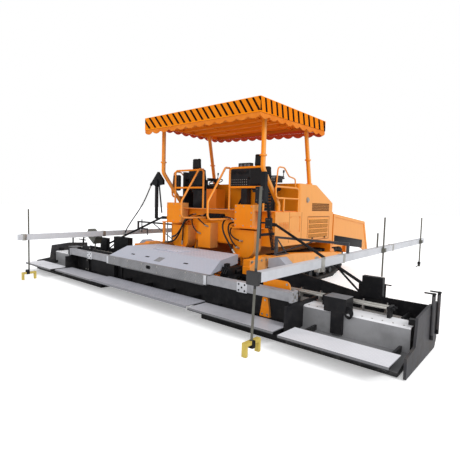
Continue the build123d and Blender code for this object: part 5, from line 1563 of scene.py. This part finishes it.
@dataclass
class ScreedFittings(Assembly):
    """Details of the centre screed: cover plate, sockets, end plates, valves and tow-arm bolts."""

    body = Body.SCREED
    beam_rear: float = 0.12       # Y of the screed beam's rear face

    def sloped(self, shape: Shape, middle: Point, half: Point, round_by: float) -> None:
        """Add a plate that lies on the cover's slope.

        Args:
            shape: mesh in the part's frame that takes it.
            middle: X and Y of its middle, from the screed's rear line.
            half: half its width and depth, and its thickness.
            round_by: bevel of its edges.
        """
        _, place, facing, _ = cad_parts["screed_cover"].ray_cast(spot(*middle, 2.0), Vector(DOWN))
        centre = place + facing * (half[2] / 2 - 0.0005)
        corner = Vector((half[0], half[1], half[2] / 2))
        turn = Vector(UP).rotation_difference(facing).to_matrix().to_4x4()
        shape.box(centre - corner, centre + corner, round_by, turn)

    def valves(self) -> Shape:
        """Valve block, two cylinders and their pipes beside the cover's right end.

        Returns:
            The whole shape.
        """
        shape = Shape()
        for low, high, round_by in (
                ((1.31, 0.63, 0.607), (1.46, 0.81, 0.745), 0.010),
                ((1.33, 0.66, 0.740), (1.39, 0.76, 0.800), 0.006),
                ((1.31, 0.90, 0.607), (1.40, 0.95, 0.66), 0.004),
                ((1.31, 1.04, 0.607), (1.40, 1.09, 0.66), 0.004),
                ((1.41, 0.95, 0.607), (1.47, 0.99, 0.64), 0.003)):
            shape.box(low, high, round_by)
        shape.rod((1.355, 0.85, 0.672), (1.355, 1.12, 0.672), 0.052, round_by=0.006)
        shape.rod((1.355, 0.80, 0.672), (1.355, 0.86, 0.672), 0.022)
        shape.rod((1.44, 0.86, 0.655), (1.44, 1.22, 0.655), 0.030, round_by=0.004)
        for x, top in ((1.335, 0.78), (1.375, 0.80), (1.415, 0.775)):
            shape.rod((x, 0.70, 0.74), (x, 0.70, top), 0.014, sides=6)
            shape.rod((x, 0.70, top - 0.01), (x + 0.03, 0.56, 0.64), 0.011, sides=14)
        return shape

    def build(self) -> None:
        """Plates on the cover, skirts, valves, the beam's socket, bolts and ends, and the arms' bolts."""
        top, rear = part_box("screed_cover")[1].z, self.beam_rear
        lid = Shape().box((-0.62, 0.68, top - 0.002), (0.12, 1.30, top + 0.016), 0.004)
        self.add("cover_lid", lid, Coat.COVER)
        lid_bolts = product((-0.58, -0.25, 0.08), (0.72, 1.26), (top + 0.016,))
        self.add("cover_lid_bolts", Shape().bolts(UP, 0.010, lid_bolts), Coat.ZINC)
        slots, patch, skirts, socket, ends = Shape(0.0), Shape(0.0), Shape(), Shape(), Shape()
        for x in (-0.387, -0.85, 0.70):
            self.sloped(slots, (x, 0.36), (0.055, 0.016, 0.003), 0.001)
        self.sloped(patch, (0.0, 0.34), (0.085, 0.075, 0.004), 0.002)
        for x in (-1, 1):
            skirts.box((x * 1.435 - 0.125, 0.408, 0.03), (x * 1.435 + 0.125, 0.441, 0.447), 0.001)
            ends.box((x * 1.40 - 0.028, rear - 0.006, 0.525), (x * 1.40 + 0.028, rear + 0.001, 0.675), 0.003)
        for x in (-0.085, -0.05, -0.015):
            socket.rod((x, rear + 0.004, 0.615), (x, rear - 0.0012, 0.615), 0.034, sides=28)
        self.add("cover_slots", slots, Coat.BLACK)
        self.add("cover_patch", patch, Coat.BEAM)
        self.add("skirt_plates", skirts, Coat.BLACK)
        self.add("lift_valves", self.valves(), Coat.BLACK)
        self.add("beam_socket", socket, Coat.PANEL)
        beam_bolts = product((-1.15, -0.7, -0.25, 0.2, 0.95, 1.2), (rear,), (0.655, 0.545))
        self.add("beam_bolts", Shape().bolts(BACK, 0.010, beam_bolts), Coat.ZINC)
        self.add("beam_end_plates", ends, Coat.ALLOY)
        arms = Shape()
        for x, out in ((1.664, RIGHT), (-1.664, LEFT)):
            arms.bolts(out, 0.016, product((x,), (1.02, 1.16, 1.30, 1.44, 1.54), (0.64, 0.83)))
        self.add("tow_arm_bolts", arms, Coat.ZINC)


@dataclass
class Hopper(Assembly):
    """Bare plate and rivets on the hopper wings' sides; each method is the right side."""

    face: float = 1.50            # X of the right wing's side

    def plate(self) -> Shape:
        """Dark plate that falls away towards the front."""
        outline = ((4.56, 0.895), (6.44, 0.672), (6.44, 0.900), (4.56, 1.122))
        return Shape().plate([(self.face - 0.001, y, z) for y, z in outline], (0.004, 0.0, 0.0), 0.001)

    def rivets(self) -> Shape:
        """Rivets along the plate's upper and lower edge.

        Returns:
            The right-hand shape.
        """
        shape = Shape()
        for y, edge in product((4.62 + step * 0.252 for step in range(8)), (0.925, 1.095)):
            z = edge - (y - 4.56) * 0.119
            shape.rod((self.face, y, z), (self.face + 0.006, y, z), 0.007, 0.004, 12)
        return shape

    def build(self) -> None:
        """Both wings."""
        self.add_pairs(("wing_plate", self.plate, Coat.BLACK, WINGS),
                       ("wing_rivets", self.rivets, Coat.BLACK, WINGS))


@dataclass
class SkiFittings(Assembly):
    """Blocks, straps and a carrier on the averaging beams."""

    body = Body.SCREED

    def build(self) -> None:
        """Blocks above the feet, the front probe, the right beam's carrier and the beams' joint straps."""
        for side, low, high, round_by in (("right", (2.955, -0.752, 0.16), (3.025, -0.692, 0.25), 0.006),
                                          ("left", (-3.107, -0.825, 0.17), (-3.037, -0.755, 0.27), 0.008)):
            self.add(f"foot_block_{side}", Shape().box(low, high, round_by), Coat.BLACK)
        self.add("front_probe_right", Shape()
                 .rod((3.072, 6.24, 0.40), (3.072, 6.24, 0.48), 0.036, round_by=0.010)
                 .rod((3.072, 6.24, 0.39), (3.01, 6.20, 0.34), 0.010, sides=12), Coat.BLACK)
        self.add("beam_straps_right", Shape()
                 .box((2.955, 0.80, 0.86), (3.045, 0.98, 0.932), 0.008)
                 .box((3.046, 0.84, 0.88), (3.062, 0.94, 1.08), 0.004)
                 .box((2.938, 0.84, 0.88), (2.954, 0.94, 1.08), 0.004)
                 .bolts(RIGHT, 0.009, product((3.062,), (0.86, 0.92), (0.90, 1.065)))
                 .box((2.945, 1.60, 0.922), (3.057, 1.68, 1.058), 0.006)
                 .box((2.945, 4.10, 0.922), (3.057, 4.18, 1.058), 0.006), Coat.ZINC)
        straps = Shape()
        for y in (-0.93, 0.95, 3.60):
            straps.box((-3.057, y, 0.922), (-2.943, y + 0.08, 1.058), 0.006)
        self.add("beam_straps_left", straps, Coat.ZINC)


@dataclass
class ExtensionFittings(Assembly):
    """Bolts, plates, tubes and clamps on the screed extensions; each method is the right side."""

    body = Body.EXT_RIGHT
    gate_x: float = 4.4605        # inner side of the end gate

    def lever_bolts(self) -> Shape:
        """Bolts of the lever plate and bar."""
        return (Shape().bolts(BACK, 0.012, product((2.45, 2.80), (0.32,), (0.61, 0.72)))
                .bolts(BACK, 0.012, [(2.43, 0.27, 0.24), (2.52, 0.27, 0.24), (2.475, 0.27, 0.45)]))

    def end_bolts(self) -> Shape:
        """Five bolts on the extension beam's end."""
        return (Shape().bolts(RIGHT, 0.011, product((3.0,), (0.16, 0.26), (0.555, 0.645)))
                .bolts(RIGHT, 0.016, [(3.0, 0.21, 0.60)]))

    def socket_plate(self) -> Shape:
        """Pale plate with rounded corners on the extension beam's rear face."""
        return Shape().box((2.05, 0.131, 0.525), (2.24, 0.139, 0.675), 0.003)

    def sockets(self) -> Shape:
        """Five dark sockets in that plate.

        Returns:
            The right-hand shape.
        """
        shape = Shape()
        for x, z in ((2.09, 0.555), (2.20, 0.555), (2.145, 0.60), (2.09, 0.645), (2.20, 0.645)):
            shape.rod((x, 0.132, z), (x, 0.1285, z), 0.015, sides=16)
        return shape

    def wall_bolts(self) -> Shape:
        """Small bolts along the top of the bolt-on box."""
        return Shape().bolts(UP, 0.008, product(spaced(3.06, 4.31, 11), (0.50, 0.79), (0.45,)))

    def gate(self) -> Shape:
        """Bolts, ribs and a strap on the end gate.

        Returns:
            The right-hand shape.
        """
        x = self.gate_x
        return (Shape().bolts(LEFT, 0.014, product((x,), spaced(0.42, 1.22, 6), (0.16,)))
                .bolts(LEFT, 0.013, [(x, 0.93, 0.62), (x, 1.03, 0.62), (x, 1.24, 0.60), (x, 1.34, 0.60)])
                .box((x - 0.022, 0.905, 0.24), (x + 0.001, 0.925, 0.60), 0.003)
                .box((x - 0.022, 1.165, 0.20), (x + 0.001, 1.185, 0.58), 0.003)
                .box((x - 0.014, 0.93, 0.33), (x + 0.001, 1.16, 0.38), 0.003))

    def build(self) -> None:
        """Fit both sides, then the tubes, the lead and the sleeves that only the right side has."""
        self.add_pairs(("lever_bolts", self.lever_bolts, Coat.ZINC, EXTENSIONS),
                       ("beam_end_bolts", self.end_bolts, Coat.ZINC, EXTENSIONS),
                       ("beam_plate", self.socket_plate, Coat.ALLOY, EXTENSIONS),
                       ("beam_sockets", self.sockets, Coat.BLACK, EXTENSIONS),
                       ("wall_top_bolts", self.wall_bolts, Coat.ZINC, EXTENSIONS),
                       ("gate_fittings", self.gate, Coat.FRAME, EXTENSIONS))
        tubes, lead, sleeves = Shape(), Shape(), Shape()
        for y, (low, high) in product((0.70, 0.79), ((2.33, 3.165), (3.235, 4.045))):
            tubes.rod((low, y, 0.565), (high, y, 0.565), 0.0190, sides=24, round_by=0.002)
        for step in range(4):
            lead.ring((3.66, 0.425 - step * 0.006, 0.485 - step * 0.012), (0.25, 1, 0.1 * step),
                      0.062 - step * 0.006, 0.010, 28)
        lead.box((3.628, 0.42, 0.50), (3.68, 0.452, 0.545), 0.004)
        for y, high in ((0.98, 0.75), (1.29, 0.72)):
            sleeves.rod((4.51, y, 0.26), (4.51, y, high), 0.0215, round_by=0.002)
        self.add("guide_tubes", tubes, Coat.ZINC)
        self.add("coiled_lead_holder", lead, Coat.BLACK)
        self.add("jack_sleeves", sleeves, Coat.DARK_STEEL)


# ---------------------------------------------------------------- light, floor and camera
@dataclass
class Studio(Assembly):
    """Pale floor, soft lamps, plain background and the camera."""

    heading: float = 40.15        # degrees to the left of straight ahead
    pitch: float = 4.04           # degrees down
    roll: float = 1.57            # degrees
    eye: tuple[float, float, float] = (5.537, -7.29, 1.832)       # in the part's frame, metres
    focal: float = 29.56          # millimetres

    def camera(self) -> None:
        """Set the camera's place, direction and lens."""
        heading, pitch, roll = (math.radians(a) for a in (self.heading, self.pitch, self.roll))
        right = Vector((math.cos(heading), math.sin(heading), 0.0))
        level = Vector((-math.sin(heading), math.cos(heading), 0.0))
        ahead = level * math.cos(pitch) + Vector(DOWN) * math.sin(pitch)
        up = right.cross(ahead)
        side = right * math.cos(roll) + up * math.sin(roll)
        top = up * math.cos(roll) - right * math.sin(roll)
        lens = bpy.data.cameras.new("camera")
        lens.lens, lens.sensor_width, lens.clip_end = self.focal, 36.0, 200.0
        made = linked("camera", lens)
        made.matrix_world = Matrix.Translation(self.eye) @ Matrix((side, top, -ahead)).transposed().to_4x4()
        bpy.context.scene.camera = made

    def sun(self, name: str, strength: float, toward: Point, size: float) -> None:
        """Add a soft sun.

        Args:
            name: its name.
            strength: its strength.
            toward: direction its light travels.
            size: its angle, radians.
        """
        light = bpy.data.lights.new(name, "SUN")
        light.energy, light.angle = strength, size
        linked(name, light).rotation_euler = Vector(toward).to_track_quat("-Z", "Y").to_euler()

    def background(self) -> None:
        """Even soft world light that looks plain white to the camera."""
        world = bpy.data.worlds.new("studio")
        world.use_nodes = True
        tree = world.node_tree
        bright, plain = tree.nodes["Background"], tree.nodes.new("ShaderNodeBackground")
        for ground, colour, strength in ((bright, (0.97, 0.98, 1.0), 0.62), (plain, (1.0, 1.0, 1.0), 1.0)):
            ground.inputs["Color"].default_value = (*colour, 1.0)
            ground.inputs["Strength"].default_value = strength
        path, mix = tree.nodes.new("ShaderNodeLightPath"), tree.nodes.new("ShaderNodeMixShader")
        for index, source in enumerate((path.outputs["Is Camera Ray"], bright.outputs[0], plain.outputs[0])):
            tree.links.new(source, mix.inputs[index])
        tree.links.new(mix.outputs[0], tree.nodes["World Output"].inputs[0])
        bpy.context.scene.world = world

    def floor(self) -> None:
        """Wide pale floor that keeps the machine's shadow."""
        shape = Shape(0.0)
        bmesh.ops.create_grid(shape.mesh, x_segments=2, y_segments=2, size=90.0)
        floor = shape.object("floor", Ground("studio_floor"), recalculate=False)
        floor.location.z = -0.002

    def build(self) -> None:
        """Set up everything around the machine, before the machine itself."""
        self.camera()
        self.background()
        self.floor()
        self.sun("key", 1.65, (-0.80, 0.05, -0.70), 0.5)
        self.sun("fill", 1.12, (-0.22, 0.85, -0.48), 1.2)
        bpy.context.scene.view_settings.view_transform = "Standard"


def main() -> None:
    """Build the sub-assemblies in order."""
    logging.basicConfig(level=logging.INFO, format="%(message)s")
    for kind in (Studio, Plating, Hoses, Valance, Seats, CanopyFittings, HoodFittings, Platform, RearFittings,
                 ScreedFittings, Hopper, SkiFittings, ExtensionFittings):
        LOG.info("-- %s", kind.__name__)
        kind().build()


if __name__ == "__main__":
    main()
